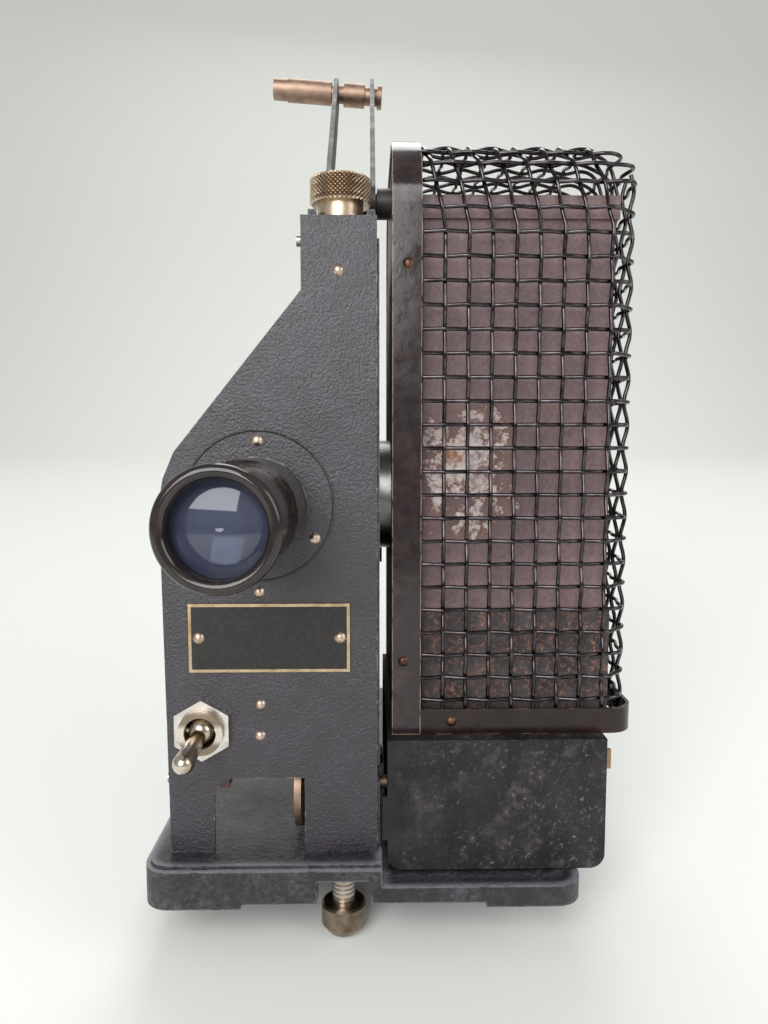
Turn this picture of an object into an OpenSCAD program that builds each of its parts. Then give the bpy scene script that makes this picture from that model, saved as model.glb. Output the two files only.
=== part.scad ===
// Compact silent film projector of the 1920s, standing on its elevating screw and its rear pads.
// Everything is drawn in the projector's own level frame: X to the right, Y to the back from the
// panel's front face, Z up from the pads. stand() then leans it back as it stands on a table.

/* [Stance] */
// How far the projector leans back on its elevating screw, in degrees
tilt = 5.6; // [3:0.1:7]

/* [Base] */
// Width of the cast base
base_w = 116.6; // [112:0.2:122]
// Depth of the cast base
base_d = 165; // [160:1:172]
// Height of the base under the mechanism
base_h = 11.5; // [10.5:0.1:13]
// Height of the base under the motor housing
ledge_h = 5.7; // [5:0.1:6]

/* [Front panel] */
// Height of the panel's top edge above the pads
panel_top = 179; // [176:0.5:182]
// Thickness of the panel sheet
panel_t = 1.2; // [0.9:0.1:1.5]
// Width of the panel across the lens
panel_w = 56.7; // [55:0.1:58]
// Width of the neck at the top of the panel
neck_w = 19.4; // [18.6:0.1:20]

/* [Lens] */
// Height of the lens axis above the pads
lens_z = 105.4; // [104:0.1:107]
// Outer diameter of the tube that is fixed to the panel
mount_tube_d = 25.4; // [25:0.1:26]
// How far that tube stands out of the panel
mount_tube_out = 24; // [20:0.5:28]
// Diameter of the sliding lens barrel
barrel_d = 22.8; // [22:0.1:23]
// How far the lens rim stands out of the panel
rim_out = 56; // [52:0.5:58]
// Diameter of the rolled rim
rim_d = 25.4; // [25:0.1:26]

/* [Drive] */
// Diameter of the knurled knob
knob_d = 16.8; // [16:0.1:17.4]
// Height of the knurled knob
knob_h = 6.8; // [6:0.1:7.2]
// Diameter of the brass friction disc on the motor shaft
friction_disc_d = 23.4; // [22:0.1:24]

/* [Guard] */
// Outer height of the wire guard's top above the pads
guard_top = 204.5; // [203:0.5:207]
// Depth of the wire guard
guard_d = 78; // [76:0.5:80]
// Pitch of the woven wires
wire_pitch = 6.25; // [6.1:0.05:6.35]
// Diameter of the guard wire
wire_d = 1.1; // [0.9:0.05:1.2]

/* [Lamp house] */
// Width of the sheet-metal lamp house
house_w = 57; // [55:0.5:57]
// Height of the lamp house roof above the pads
house_top = 187; // [185:0.5:188]

/* [Reel arm] */
// Height of the reel spindle above the pads
spindle_z = 247.5; // [245:0.5:250]
// Distance of the reel spindle behind the panel
spindle_y = 93; // [91:0.5:95]
// Diameter of the reel spindle, for a five-sixteenth inch reel hole
spindle_d = 7.9; // [7.8:0.02:7.94]
// Rise of the spindle towards its free end, in degrees
spindle_rise = 4; // [0:0.5:5]

/* [Hidden] */
$fn = 64;

// Colours, as the photograph shows them
crinkle_black = [0.16, 0.15, 0.16];
panel_black = [0.20, 0.19, 0.21];
japan_black = [0.13, 0.11, 0.11];
house_brown = [0.36, 0.27, 0.26];
burnt_brown = [0.26, 0.22, 0.21];
wire_grey = [0.24, 0.23, 0.23];
worn_brass = [0.66, 0.52, 0.36];
rivet_copper = [0.78, 0.67, 0.56];
dull_nickel = [0.70, 0.66, 0.60];
bright_steel = [0.62, 0.62, 0.62];
bakelite = [0.22, 0.11, 0.09];
lens_glass = [0.45, 0.55, 0.66, 0.6];
mirror_silver = [0.80, 0.82, 0.84];

// General fits
running_gap = 0.05;

// Base and its place
base_left = -60.7;
base_right = base_left + base_w;
base_front = -8;
base_back = base_front + base_d;
base_corner_r = 7;
pad_h = 1.3;
rear_contact_y = base_back - base_corner_r / 2;

// Elevating screw
screw_x = -8.1;
screw_y = 5.2;
screw_d = 6.35;
foot_d = 12.4;
foot_h = 8.9;
foot_crown_r = 14;
foot_drop = foot_crown_r
    - (foot_crown_r - (rear_contact_y - screw_y) * sin(tilt)) / cos(tilt);
screw_top = base_h - 0.6;

// Panel and its place
panel_right = 1.3;
panel_left = panel_right - panel_w;
neck_left = panel_right - neck_w;
neck_foot_z = 160.5;
shoulder_x = -51.3;
shoulder_z = 119.4;
side_top_z = 109;
panel_bottom_inset = 1;
arch_left = -42.6;
arch_right = -18.3;
arch_top = 32.1;
arch_r = 6;
lens_x = -29.7;

// Lens flange and rivets
flange_r = 20;
flange_t = 0.35;
flange_rivet_r = 17;
rivet_r = 1.45;
rivet_head = 0.8;
tube_back = 8;

// Name plate and switch
plate_left = -48.4;
plate_w = 42.4;
plate_low = 61.4;
plate_h = 18.3;
plate_t = 0.6;
plate_hole_in = 2.6;
plate_hole_r = 0.9;
switch_x = -45.2;
switch_z = 46;
switch_nut_af = 14.3;
switch_nut_t = 2.2;
bushing_d = 11.9;
bushing_bore_r = 4.2;
bushing_out = 4.2;
lever_y = -1.2;
lever_down = 10;
lever_aside = -5;

// Mechanism frame
frame_left = -2.2;
frame_right = 1.9;
frame_front = panel_t;
frame_back = 112;

bearing_plate_z = 173.6;

// Vertical main shaft and what it turns
shaft_x = -8.3;
shaft_y = 14;
shaft_r = 2.5;
shaft_low = 29.4;
shaft_top = 190;
lower_bearing_low = 38;
lower_bearing_top = 43;
knob_low = 185.2;
neck_hub_r = 6;
wheel_z = 32.6;
wheel_t = 3;
friction_face_x = -19.6;
wheel_r = shaft_x - friction_face_x - running_gap;

// Tooth form of the gears and the worm, and the shares of a tooth's step that root and tip take
addendum = 0.6;
dedendum = 0.9;
tooth_root_share = 0.26;
tooth_tip_share = 0.15;

// Skew gears of forty-five degree helix that drive the shutter
skew_teeth = 12;
skew_r = 6.8;
shutter_x = shaft_x - 2 * skew_r;
shutter_z = 94.4;
shutter_y = 25.3;
shutter_r = 19.3;
gear_width = 6;

// Two-start worm and its wheel, which drive the sprocket
worm_r = 5;
worm_starts = 2;
worm_phase = 115; // sets the threads midway between the wheel's teeth
wheel_teeth = 24;
wheel_pitch_r = 9.6;
worm_lead = worm_starts * 2 * PI * wheel_pitch_r / wheel_teeth;
sprocket_y = shaft_y + worm_r + wheel_pitch_r;
sprocket_z = 58;
frame_pitch = 7.62;
sprocket_frames = 12;
sprocket_r = sprocket_frames * frame_pitch / (2 * PI);
film_w = 16;

// Film gate
gate_y = 31;
gate_half_h = 22;
gate_border = 2;
claw_x = lens_x + 5.4;
claw_bar_y = gate_y + 4;
claw_z = 84;
claw_bar_w = 3;
claw_bar_t = 2;
cam_z = 136;
cam_r = 6;

// Light path, which comes from the right and is turned forward by the mirror
beam_y = 46;
beam_r = 14;
condenser_r = 17;
condenser_wall = 1.4;
mirror_side = 26;
mirror_t = 1.6;

// Guide rollers
roller_r = 6;
stud_r = 2;
upper_roller_y = 47;
upper_roller_z = 136;
lower_roller_y = 52;
lower_roller_z = 40;

// Guard and lamp house
guard_left = 5.3;
guard_right = 72;
guard_front = 3.4;
guard_back = guard_front + guard_d;
guard_low = 42.6;
guard_top_r = 21;
guard_corner_r = 7;
side_band_w = 7.7;
bottom_band_h = 7;
band_t = 0.9;
rail_in = band_t + wire_d / 2;
hoop_in = rail_in + wire_d + 0.05;
row_start_x = guard_left + 3;
side_wire_x = guard_right - hoop_in;
side_bend_r = 9;
side_bend_z = guard_top - rail_in - side_bend_r;
house_left = 8;
house_right = house_left + house_w;
house_front = 10.5;
house_back = 75;
house_low = 42.6;
house_wall = 1;
skirt_top = 76;
lamp_x = 40;
bulb_low = 48;
bulb_base_r = 11.7;

// Motor housing
motor_left = 4;
motor_right = 63;
motor_front = -1;
motor_back = 84;
motor_low = 6.5;
motor_top = 42.6;
motor_wall = 1.2;
motor_edge_r = 4;
motor_z = 24.5;
motor_shaft_r = 2;
speed_y = 12;
speed_z = 38;
speed_shaft_r = 1.8;
inlet_x = 34;
inlet_z = 24;
inlet_r = 9;

// Reel arm
pivot_y = 30;
pivot_z = 190.5;
pivot_r = 2.9;
arm_leaf_t = 1.5;
left_leaf_x = -11.8;
right_leaf_x = -0.4;
arm_w = 11;
spindle_leaf_out = (right_leaf_x - left_leaf_x) / 2 + arm_leaf_t;
spindle_sleeve = 15.6;
spindle_tip = 5.2;
spindle_core_r = 3;

// Take-up arm
take_up_y = 166;
take_up_z = 94;
take_up_end_r = 9;
take_up_arm_t = 2;

// The part's origin is under the middle of its bounding box
origin_x = (base_left + guard_right) / 2;
origin_y = (leaned_y(-rim_out, lens_z - rim_d / 2) + leaned_y(take_up_y, take_up_z) + take_up_end_r) / 2;

// Where a point of the level projector comes along the table once it leans back
function leaned_y(y, z) =
    rear_contact_y + (y - rear_contact_y) * cos(tilt) + z * sin(tilt);

// Leans the level projector back about the lower rear edge of its pads
module stand() {
    translate([-origin_x, rear_contact_y - origin_y, 0])
        rotate([-tilt, 0, 0])
            translate([0, -rear_contact_y, 0])
                children();
}

// Extrudes an outline drawn in Y and Z along X
module along_x(start, length) {
    translate([start, 0, 0])
        rotate([90, 0, 90])
            linear_extrude(length)
                children();
}

// Extrudes an outline drawn in X and Z along Y
module along_y(start, length) {
    translate([0, start + length, 0])
        rotate([90, 0, 0])
            linear_extrude(length)
                children();
}

module rod_x(start, end, y, z, r) {
    translate([start, y, z])
        rotate([0, 90, 0])
            cylinder(h = end - start, r = r);
}

module rod_y(start, end, x, z, r) {
    translate([x, start, z])
        rotate([-90, 0, 0])
            cylinder(h = end - start, r = r);
}

module rod_z(start, end, x, y, r) {
    translate([x, y, start])
        cylinder(h = end - start, r = r);
}

module block(low, high) {
    translate(low)
        cube(high - low);
}

module rounded_square(low, high, r) {
    translate([low[0] + r, low[1]])
        square([high[0] - low[0] - 2 * r, high[1] - low[1]]);
    translate([low[0], low[1] + r])
        square([high[0] - low[0], high[1] - low[1] - 2 * r]);
    for (x = [low[0] + r, high[0] - r])
        for (y = [low[1] + r, high[1] - r])
            translate([x, y])
                circle(r);
}

// A low dome of a given base radius and height, standing on z = 0
module dome(r, height) {
    sphere_r = (r * r + height * height) / (2 * height);
    intersection() {
        translate([0, 0, height - sphere_r])
            sphere(sphere_r);
        cylinder(h = height, r = r);
    }
}

// A round rivet head on the panel's front face, its crown towards the viewer
module rivet_at(x, z, y = 0, r = rivet_r, height = rivet_head) {
    translate([x, y, z])
        rotate([90, 0, 0])
            dome(r, height);
}

// Base

module base_outline(inset) {
    rounded_square([base_left + inset, base_front + inset], [base_right - inset, base_back - inset],
        base_corner_r - inset);
}

module base_casting() {
    step_x = 2.4;
    skirt_w = 5;
    slab_t = 4;
    edge_rise = 1.2;
    notch_left = -14.6;
    notch_right = -0.3;
    notch_top = 7.4;
    pad_w = 26;
    foot_room_r = 7;
    stand() color(crinkle_black) difference() {
        union() {
            intersection() {
                union() {
                    translate([0, 0, pad_h])
                        linear_extrude(base_h - pad_h - edge_rise)
                            base_outline(0);
                    translate([0, 0, base_h - edge_rise])
                        linear_extrude(edge_rise)
                            base_outline(edge_rise);
                }
                union() {
                    block([base_left, base_front, 0], [step_x, base_back, base_h]);
                    block([step_x, base_front, 0], [base_right, base_back, ledge_h]);
                }
            }
            intersection() {
                linear_extrude(pad_h)
                    base_outline(0);
                for (x = [base_left, base_right - pad_w])
                    for (y = [base_front, base_back - pad_w])
                        block([x, y, 0], [x + pad_w, y + pad_w, pad_h]);
            }
        }
        difference() {
            translate([0, 0, -1])
                linear_extrude(base_h - slab_t + 1)
                    base_outline(skirt_w);
            block([step_x - skirt_w, base_front, ledge_h - 2], [base_right, base_back, base_h]);
        }
        block([notch_left, base_front - 1, -1], [notch_right, screw_y + 2, notch_top]);
        rod_z(-1, notch_top, screw_x, screw_y, foot_room_r);
        rod_z(0, base_h + 1, screw_x, screw_y, screw_d / 2 + running_gap);
    }
}

module elevating_screw() {
    thread_step = 1.27;
    thread_depth = 0.45;
    root_r = screw_d / 2 - thread_depth;
    grooves = floor((screw_top + foot_drop - foot_h) / thread_step);
    stand() color(dull_nickel)
        translate([screw_x, screw_y, foot_h - foot_drop])
            difference() {
                cylinder(h = screw_top + foot_drop - foot_h, r = screw_d / 2);
                for (i = [0:grooves - 1])
                    translate([0, 0, (i + 0.5) * thread_step])
                        rotate_extrude()
                            polygon([
                                [root_r, 0],
                                [screw_d, thread_step],
                                [screw_d, -thread_step]
                            ]);
            }
}

module elevating_foot() {
    crown_half = 4.4;
    crown_h = foot_crown_r - sqrt(pow(foot_crown_r, 2) - pow(crown_half, 2));
    taper_h = 3;
    top_edge = 0.6;
    stand() color(dull_nickel)
        translate([screw_x, screw_y, -foot_drop])
            union() {
                intersection() {
                    translate([0, 0, foot_crown_r])
                        sphere(foot_crown_r);
                    cylinder(h = crown_h, r = crown_half);
                }
                translate([0, 0, crown_h])
                    rotate_extrude()
                        polygon([
                            [0, 0],
                            [crown_half, 0],
                            [foot_d / 2, taper_h - crown_h],
                            [foot_d / 2, foot_h - crown_h - top_edge],
                            [foot_d / 2 - top_edge, foot_h - crown_h],
                            [0, foot_h - crown_h]
                        ]);
            }
}

// Front panel and what is fixed to it

module panel_outline() {
    bottom_left = panel_left + panel_bottom_inset;
    difference() {
        polygon([
            [panel_right, base_h],
            [panel_right, panel_top],
            [neck_left, panel_top],
            [neck_left, neck_foot_z],
            [shoulder_x, shoulder_z],
            [panel_left + 1.1, side_top_z + 3.4],
            [panel_left, side_top_z - 3],
            [bottom_left, base_h]
        ]);
        translate([arch_left, base_h - 1])
            square([arch_right - arch_left, arch_top - base_h + 1 - arch_r]);
        translate([arch_left + arch_r, arch_top - 2 * arch_r])
            square([arch_right - arch_left - arch_r, 2 * arch_r]);
        translate([arch_left + arch_r, arch_top - arch_r])
            circle(arch_r);
    }
}

module front_panel() {
    flange_depth = 9;
    bushing_hole = bushing_d / 2 + 0.1;
    slant = atan2(neck_foot_z - shoulder_z, neck_left - shoulder_x);
    inward = panel_t * [sin(slant), -cos(slant)];
    stand() color(panel_black) union() {
        difference() {
            along_y(0, panel_t)
                panel_outline();
            rod_y(-1, panel_t + 1, lens_x, lens_z, mount_tube_d / 2 - 0.02);
            rod_y(-1, panel_t + 1, switch_x, switch_z, bushing_hole);
        }
        along_y(panel_t / 2, flange_depth)
            polygon([
                [panel_left + panel_bottom_inset, base_h],
                [panel_left + panel_bottom_inset + panel_t, base_h],
                [panel_left + panel_t, side_top_z - 3],
                [panel_left, side_top_z - 3]
            ]);
        along_y(panel_t / 2, flange_depth)
            polygon([
                [shoulder_x, shoulder_z],
                [neck_left, neck_foot_z],
                [neck_left, neck_foot_z] + inward,
                [shoulder_x, shoulder_z] + inward
            ]);
        block([neck_left, panel_t / 2, neck_foot_z + 1.5],
            [neck_left + panel_t, flange_depth, panel_top]);
    }
}

module lens_flange() {
    stand() color(panel_black) difference() {
        rod_y(-flange_t, 0, lens_x, lens_z, flange_r);
        rod_y(-1, 1, lens_x, lens_z, mount_tube_d / 2 - 0.02);
    }
}

module panel_rivets() {
    places = [[-29.8, 82.7], [-29.9, 52.4], [-30, 43.8], [-8.6, 165.4]];
    stand() color(rivet_copper) {
        for (p = places)
            rivet_at(p[0], p[1]);
        for (a = [90, 210, 330])
            rivet_at(lens_x + flange_rivet_r * cos(a), lens_z + flange_rivet_r * sin(a), -flange_t);
    }
}

module lens_mount_tube() {
    groove_r = 0.35;
    bore_r = barrel_d / 2 + running_gap;
    stand() color(japan_black) difference() {
        rod_y(-mount_tube_out, tube_back, lens_x, lens_z, mount_tube_d / 2 - 0.02);
        rod_y(-mount_tube_out - 1, tube_back + 1, lens_x, lens_z, bore_r);
        for (y = [-1.6, -3.0, -4.4])
            translate([lens_x, y, lens_z])
                rotate([90, 0, 0])
                    rotate_extrude()
                        translate([mount_tube_d / 2, 0])
                            circle(groove_r, $fn = 16);
    }
}

// The barrel and the rim that is rolled at its front end
module lens_barrel() {
    wall = 1.3;
    rim_length = 5;
    barrel_back = 1;
    bead = 1.5;
    glass_r = 10;
    stand() color(japan_black) {
        difference() {
            rod_y(rim_length - rim_out - 0.5, barrel_back, lens_x, lens_z, barrel_d / 2);
            rod_y(rim_length - rim_out - 1, barrel_back + 1, lens_x, lens_z, barrel_d / 2 - wall);
        }
        translate([lens_x, -rim_out, lens_z])
            rotate([-90, 0, 0])
                rotate_extrude()
                    union() {
                        translate([rim_d / 2 - bead, bead])
                            circle(bead, $fn = 24);
                        polygon([
                            [glass_r + 1.2, 0.9],
                            [rim_d / 2 - bead, 0.4],
                            [rim_d / 2 - 0.6, bead],
                            [rim_d / 2 - 0.6, rim_length],
                            [glass_r, rim_length],
                            [glass_r, 2.2]
                        ]);
                    }
    }
}

// A lens element with its two crowns, its middle at a place along Y
module element(y, r, edge, crown) {
    translate([lens_x, y, lens_z]) {
        rotate([-90, 0, 0])
            translate([0, 0, -edge / 2])
                cylinder(h = edge, r = r);
        translate([0, -edge / 2, 0])
            rotate([90, 0, 0])
                dome(r, crown);
        translate([0, edge / 2, 0])
            rotate([-90, 0, 0])
                dome(r, crown);
    }
}

module lens_elements() {
    element_r = barrel_d / 2 - 1.32;
    stand() color(lens_glass) {
        element(7.6 - rim_out, element_r, 3.4, 1.6);
        element(-5, element_r, 3.4, 1.6);
    }
}

module name_plate() {
    stand() color(worn_brass)
        difference() {
            block([plate_left, -plate_t, plate_low], [plate_left + plate_w, 0, plate_low + plate_h]);
            for (x = [plate_left + plate_hole_in, plate_left + plate_w - plate_hole_in])
                rod_y(-1, 1, x, plate_low + plate_h / 2, plate_hole_r);
        }
}

module plate_screws() {
    head_r = 1.5;
    head_h = 0.7;
    stand() color(worn_brass)
        for (x = [plate_left + plate_hole_in, plate_left + plate_w - plate_hole_in]) {
            rivet_at(x, plate_low + plate_h / 2, -plate_t, head_r, head_h);
            rod_y(-plate_t, 0, x, plate_low + plate_h / 2, plate_hole_r - 0.02);
        }
}

// Toggle switch

module switch_body() {
    half_w = 6.5;
    below = 17;
    above = 14;
    back = 17;
    stand() color(bakelite) difference() {
        block([switch_x - half_w, panel_t, switch_z - below], [switch_x + half_w, back, switch_z + above]);
        rod_y(0, 8, switch_x, switch_z, bushing_bore_r);
    }
}

module switch_bushing() {
    stand() color(worn_brass) difference() {
        rod_y(-bushing_out, panel_t, switch_x, switch_z, bushing_d / 2);
        rod_y(-bushing_out - 1, panel_t + 1, switch_x, switch_z, bushing_bore_r);
    }
}

module switch_nut() {
    stand() color(dull_nickel) difference() {
        translate([switch_x, 0, switch_z])
            rotate([90, 90, 0])
                cylinder(h = switch_nut_t, r = switch_nut_af / sqrt(3), $fn = 6);
        rod_y(-switch_nut_t - 1, 1, switch_x, switch_z, bushing_d / 2 + 0.02);
    }
}

module switch_lever() {
    ball_r = 3.6;
    neck_r = 1.7;
    tip_r = 2.7;
    reach = 15.5;
    pin_half = 4;
    pin_r = 0.9;
    stand() color(dull_nickel) {
        translate([switch_x, lever_y, switch_z])
            rotate([lever_down, 0, lever_aside]) {
                sphere(ball_r);
                rotate([90, 0, 0]) {
                    cylinder(h = reach, r1 = neck_r, r2 = tip_r);
                    translate([0, 0, reach])
                        sphere(tip_r);
                }
            }
        rod_x(switch_x - pin_half, switch_x + pin_half, lever_y, switch_z, pin_r);
    }
}

// Mechanism frame and its bearings

module mechanism_frame() {
    rear_top_z = 120;
    foot_w = 9;
    foot_t = 3;
    slope_y = 60;
    guide_wall = 1.6;
    guide_low = 122;
    guide_high = 128;
    wheel_room = 2.4;
    gear_room = 5.4;
    motor_shaft_room_r = 4.5;
    foot_front = 34;
    stand() color(crinkle_black) difference() {
        union() {
            along_x(frame_left, frame_right - frame_left)
                polygon([
                    [frame_front, base_h],
                    [frame_front, bearing_plate_z],
                    [slope_y, bearing_plate_z],
                    [frame_back, rear_top_z],
                    [frame_back, base_h]
                ]);
            block([frame_left - foot_w, foot_front, base_h], [frame_left, frame_back, base_h + foot_t]);
            block([claw_x - guide_wall, claw_bar_y - guide_wall, guide_low],
                [frame_left, claw_bar_y + claw_bar_t + guide_wall, guide_high]);
        }
        block([claw_x - running_gap, claw_bar_y - running_gap, guide_low - 1],
            [claw_x + claw_bar_w + running_gap, claw_bar_y + claw_bar_t + running_gap, guide_high + 1]);
        rod_x(frame_left - 1, frame_right + 1, sprocket_y, sprocket_z, 2 + running_gap);
        rod_x(frame_left - 1, frame_right + 1, beam_y, lens_z, beam_r);
        block([frame_left - 1, 0, wheel_z - wheel_room],
            [frame_right + 1, shaft_y + wheel_r + 1, wheel_z + wheel_room]);
        block([frame_left - 1, shaft_y - gear_room, shutter_z - gear_width / 2 - 1],
            [frame_right + 1, shaft_y + gear_room, shutter_z + gear_width / 2 + 1]);
        rod_x(frame_left - 1, frame_right + 1, shaft_y, motor_z, motor_shaft_room_r);
    }
}

module frame_screws() {
    screw_r = 1.5;
    head_h = 1.5;
    head_r = 2.4;
    foot_top = base_h + 3;
    flange_screw_y = 6;
    neck_screw_z = 174;
    side_screw_z = 30;
    side_face = panel_left + panel_bottom_inset - 0.3;
    stand() color(bright_steel) {
        for (y = [44, 72, 100])
            translate([frame_left - 5, y, foot_top])
                dome(head_r, head_h);
        for (z = [take_up_z - 10, take_up_z + 10])
            translate([frame_right + take_up_arm_t, frame_back - 12, z])
                rotate([0, 90, 0])
                    dome(head_r, head_h);
        rod_x(neck_left - head_h, neck_left, flange_screw_y, neck_screw_z, screw_r);
        rod_x(side_face - head_h, side_face, flange_screw_y, side_screw_z, screw_r);
    }
}

// A bearing arm that reaches from the frame to the main shaft
module shaft_arm(low, high) {
    half = 5;
    difference() {
        union() {
            block([shaft_x, shaft_y - half, low], [frame_left, shaft_y + half, high]);
            rod_z(low, high, shaft_x, shaft_y, half);
        }
        rod_z(low - 1, high + 1, shaft_x, shaft_y, shaft_r + running_gap);
    }
}

module upper_bearing() {
    ear_t = 2.2;
    ear_top = 183;
    plate_top = bearing_plate_z + 4;
    inner_left = neck_left + panel_t;
    inner_right = frame_right - 1;
    front = shaft_y - 5;
    back = shaft_y + 7;
    stand() color(crinkle_black) difference() {
        union() {
            block([inner_left, front, bearing_plate_z], [inner_right, back, plate_top]);
            block([inner_left, front, bearing_plate_z], [inner_left + ear_t, back, ear_top]);
            block([inner_right - ear_t, front, bearing_plate_z], [inner_right, back, ear_top]);
        }
        rod_z(bearing_plate_z - 1, plate_top + 1, shaft_x, shaft_y, shaft_r + running_gap);
    }
}

module lower_bearing() {
    stand() color(crinkle_black)
        shaft_arm(lower_bearing_low, lower_bearing_top);
}

// Main shaft

module main_shaft() {
    collar_r = 4;
    collar_h = 1.9;
    collar_low = lower_bearing_top + 0.1;
    stand() color(bright_steel) {
        rod_z(shaft_low, shaft_top, shaft_x, shaft_y, shaft_r);
        rod_z(collar_low, collar_low + collar_h, shaft_x, shaft_y, collar_r);
    }
}

module drive_knob() {
    groove = 0.28;
    hub_low = 178.4;
    rim = 0.6;
    rows = 6;
    row_h = (knob_h - 2 * rim) / rows;
    stand() color(worn_brass)
        translate([shaft_x, shaft_y, 0]) {
            difference() {
                translate([0, 0, hub_low])
                    cylinder(h = knob_low - hub_low, r = neck_hub_r);
                translate([0, 0, hub_low - 1])
                    cylinder(h = knob_low - hub_low + 2, r = shaft_r);
            }
            translate([0, 0, knob_low])
                rotate_extrude()
                    polygon([
                        [shaft_r, 0],
                        [knob_d / 2 - rim, 0],
                        [knob_d / 2, rim],
                        for (i = [0:rows - 1]) each [
                            [knob_d / 2 - groove, rim + (i + 0.5) * row_h],
                            [knob_d / 2, rim + (i + 1) * row_h]
                        ],
                        [knob_d / 2 - rim, knob_h],
                        [shaft_r, knob_h]
                    ]);
        }
}

module friction_wheel() {
    stand() color(bakelite) difference() {
        rod_z(wheel_z - wheel_t / 2, wheel_z + wheel_t / 2, shaft_x, shaft_y, wheel_r);
        rod_z(wheel_z - wheel_t, wheel_z + wheel_t, shaft_x, shaft_y, shaft_r);
    }
}

// A gear whose teeth follow a right-hand helix of the given lead, centred on its own axis
module helical_gear(teeth, pitch_r, width, lead, bore_r) {
    step = 360 / teeth;
    root_r = pitch_r - dedendum;
    tip_r = pitch_r + addendum;
    twist_angle = -360 * width / lead;
    tooth = [
        [root_r, -tooth_root_share],
        [tip_r, -tooth_tip_share],
        [tip_r, tooth_tip_share],
        [root_r, tooth_root_share]
    ];
    difference() {
        linear_extrude(width, twist = twist_angle, center = true, slices = ceil(abs(twist_angle) / 8))
            polygon([
                for (i = [0:teeth - 1])
                    for (p = tooth)
                        p[0] * [cos(step * (i + p[1])), sin(step * (i + p[1]))]
            ]);
        cylinder(h = width + 2, r = bore_r, center = true);
    }
}

module drive_gear() {
    skew_lead = 2 * PI * skew_r;
    stand() color(worn_brass)
        translate([shaft_x, shaft_y, shutter_z])
            rotate([0, 0, 180])
                helical_gear(skew_teeth, skew_r, gear_width, skew_lead, shaft_r);
}

// Radius of the two-start worm's cross-section at an angle: two lobes with the gears' own flanks
function worm_radius(a) =
    let (
        off_tooth = abs((worm_starts * a + 180) % 360 - 180) / 360,
        share = (off_tooth - tooth_tip_share) / (tooth_root_share - tooth_tip_share)
    )
    worm_r + addendum - (addendum + dedendum) * min(1, max(0, share));

module feed_worm() {
    worm_h = 10;
    samples = 36;
    stand() color(bright_steel)
        translate([shaft_x, shaft_y, sprocket_z])
            rotate([0, 0, worm_phase])
                difference() {
                    linear_extrude(worm_h, twist = -360 * worm_h / worm_lead, center = true, slices = 48,
                        $fn = 12)
                        polygon([
                            for (i = [0:samples - 1])
                                let (a = 360 * i / samples)
                                    worm_radius(a) * [cos(a), sin(a)]
                        ]);
                    cylinder(h = worm_h + 2, r = shaft_r, center = true);
                }
}

module cam_drum() {
    cam_h = 16;
    groove_r = 1.3;
    swash = atan2(frame_pitch / 2, cam_r);
    stand() color(bright_steel)
        translate([shaft_x, shaft_y, cam_z])
            difference() {
                cylinder(h = cam_h, r = cam_r, center = true);
                cylinder(h = cam_h + 2, r = shaft_r, center = true);
                rotate([0, swash, 0])
                    rotate_extrude()
                        translate([cam_r + 0.6, 0])
                            circle(groove_r, $fn = 24);
            }
}

module shutter_bearing() {
    half = 4.4;
    front = 22;
    back = 24.8;
    stand() color(crinkle_black) difference() {
        union() {
            rod_y(front, back, shutter_x, shutter_z, half);
            block([shutter_x, front, shutter_z - half], [frame_left, back, shutter_z + half]);
        }
        rod_y(front - 1, back + 1, shutter_x, shutter_z, 2 + running_gap);
    }
}

module shutter() {
    skew_lead = 2 * PI * skew_r;
    blade_t = 0.8;
    shaft_front = 10.6;
    shaft_back = shutter_y + 1;
    stand() color(bright_steel) {
        rod_y(shaft_front, shaft_back, shutter_x, shutter_z, 2);
        translate([shutter_x, shaft_y, shutter_z])
            rotate([-90, 0, 0])
                rotate([0, 0, 180 / skew_teeth])
                    helical_gear(skew_teeth, skew_r, gear_width, skew_lead, 2);
        difference() {
            rod_y(shutter_y, shutter_y + blade_t, shutter_x, shutter_z, shutter_r);
            translate([shutter_x, shutter_y - 1, shutter_z])
                rotate([-90, 0, 0])
                    linear_extrude(3)
                        polygon([[3, 3], [3, 30], [-30, 30], [-30, 3]]);
            rod_y(shutter_y - 1, shutter_y + 2, shutter_x, shutter_z, 2);
        }
    }
}

module film_sprocket() {
    tooth = 0.9;
    wheel_lead = 2 * PI * wheel_pitch_r * 2 * PI * worm_r / worm_lead;
    shaft_end = -37.9;
    stand() color(worn_brass) {
        rod_x(shaft_end, frame_right, sprocket_y, sprocket_z, 2);
        difference() {
            rod_x(lens_x - film_w / 2, lens_x + film_w / 2, sprocket_y, sprocket_z, sprocket_r - 0.1);
            rod_x(lens_x - film_w / 2 + 2.4, lens_x + film_w / 2 - 2.4, sprocket_y, sprocket_z,
                sprocket_r + 1);
        }
        rod_x(lens_x - film_w / 2 + 2.4, lens_x + film_w / 2 - 2.4, sprocket_y, sprocket_z,
            sprocket_r - 1.2);
        for (i = [0:sprocket_frames - 1])
            translate([lens_x + film_w / 2 - 1.9, sprocket_y, sprocket_z])
                rotate([360 / sprocket_frames * i, 0, 0])
                    translate([0, 0, sprocket_r - 0.6])
                        translate([-tooth / 2, -tooth / 2, 0])
                            cube([tooth, tooth, 1.6]);
        translate([shaft_x, sprocket_y, sprocket_z])
            rotate([0, 90, 0])
                rotate([0, 0, 90 + 180 / wheel_teeth])
                    helical_gear(wheel_teeth, wheel_pitch_r, 4, wheel_lead, 2);
    }
}

// Film gate and claw

module gate_outline(window_w, window_h) {
    difference() {
        translate([lens_x - film_w / 2 - gate_border, lens_z - gate_half_h])
            square([film_w + 2 * gate_border, 2 * gate_half_h]);
        translate([lens_x - window_w / 2, lens_z - window_h / 2])
            square([window_w, window_h]);
    }
}

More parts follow.
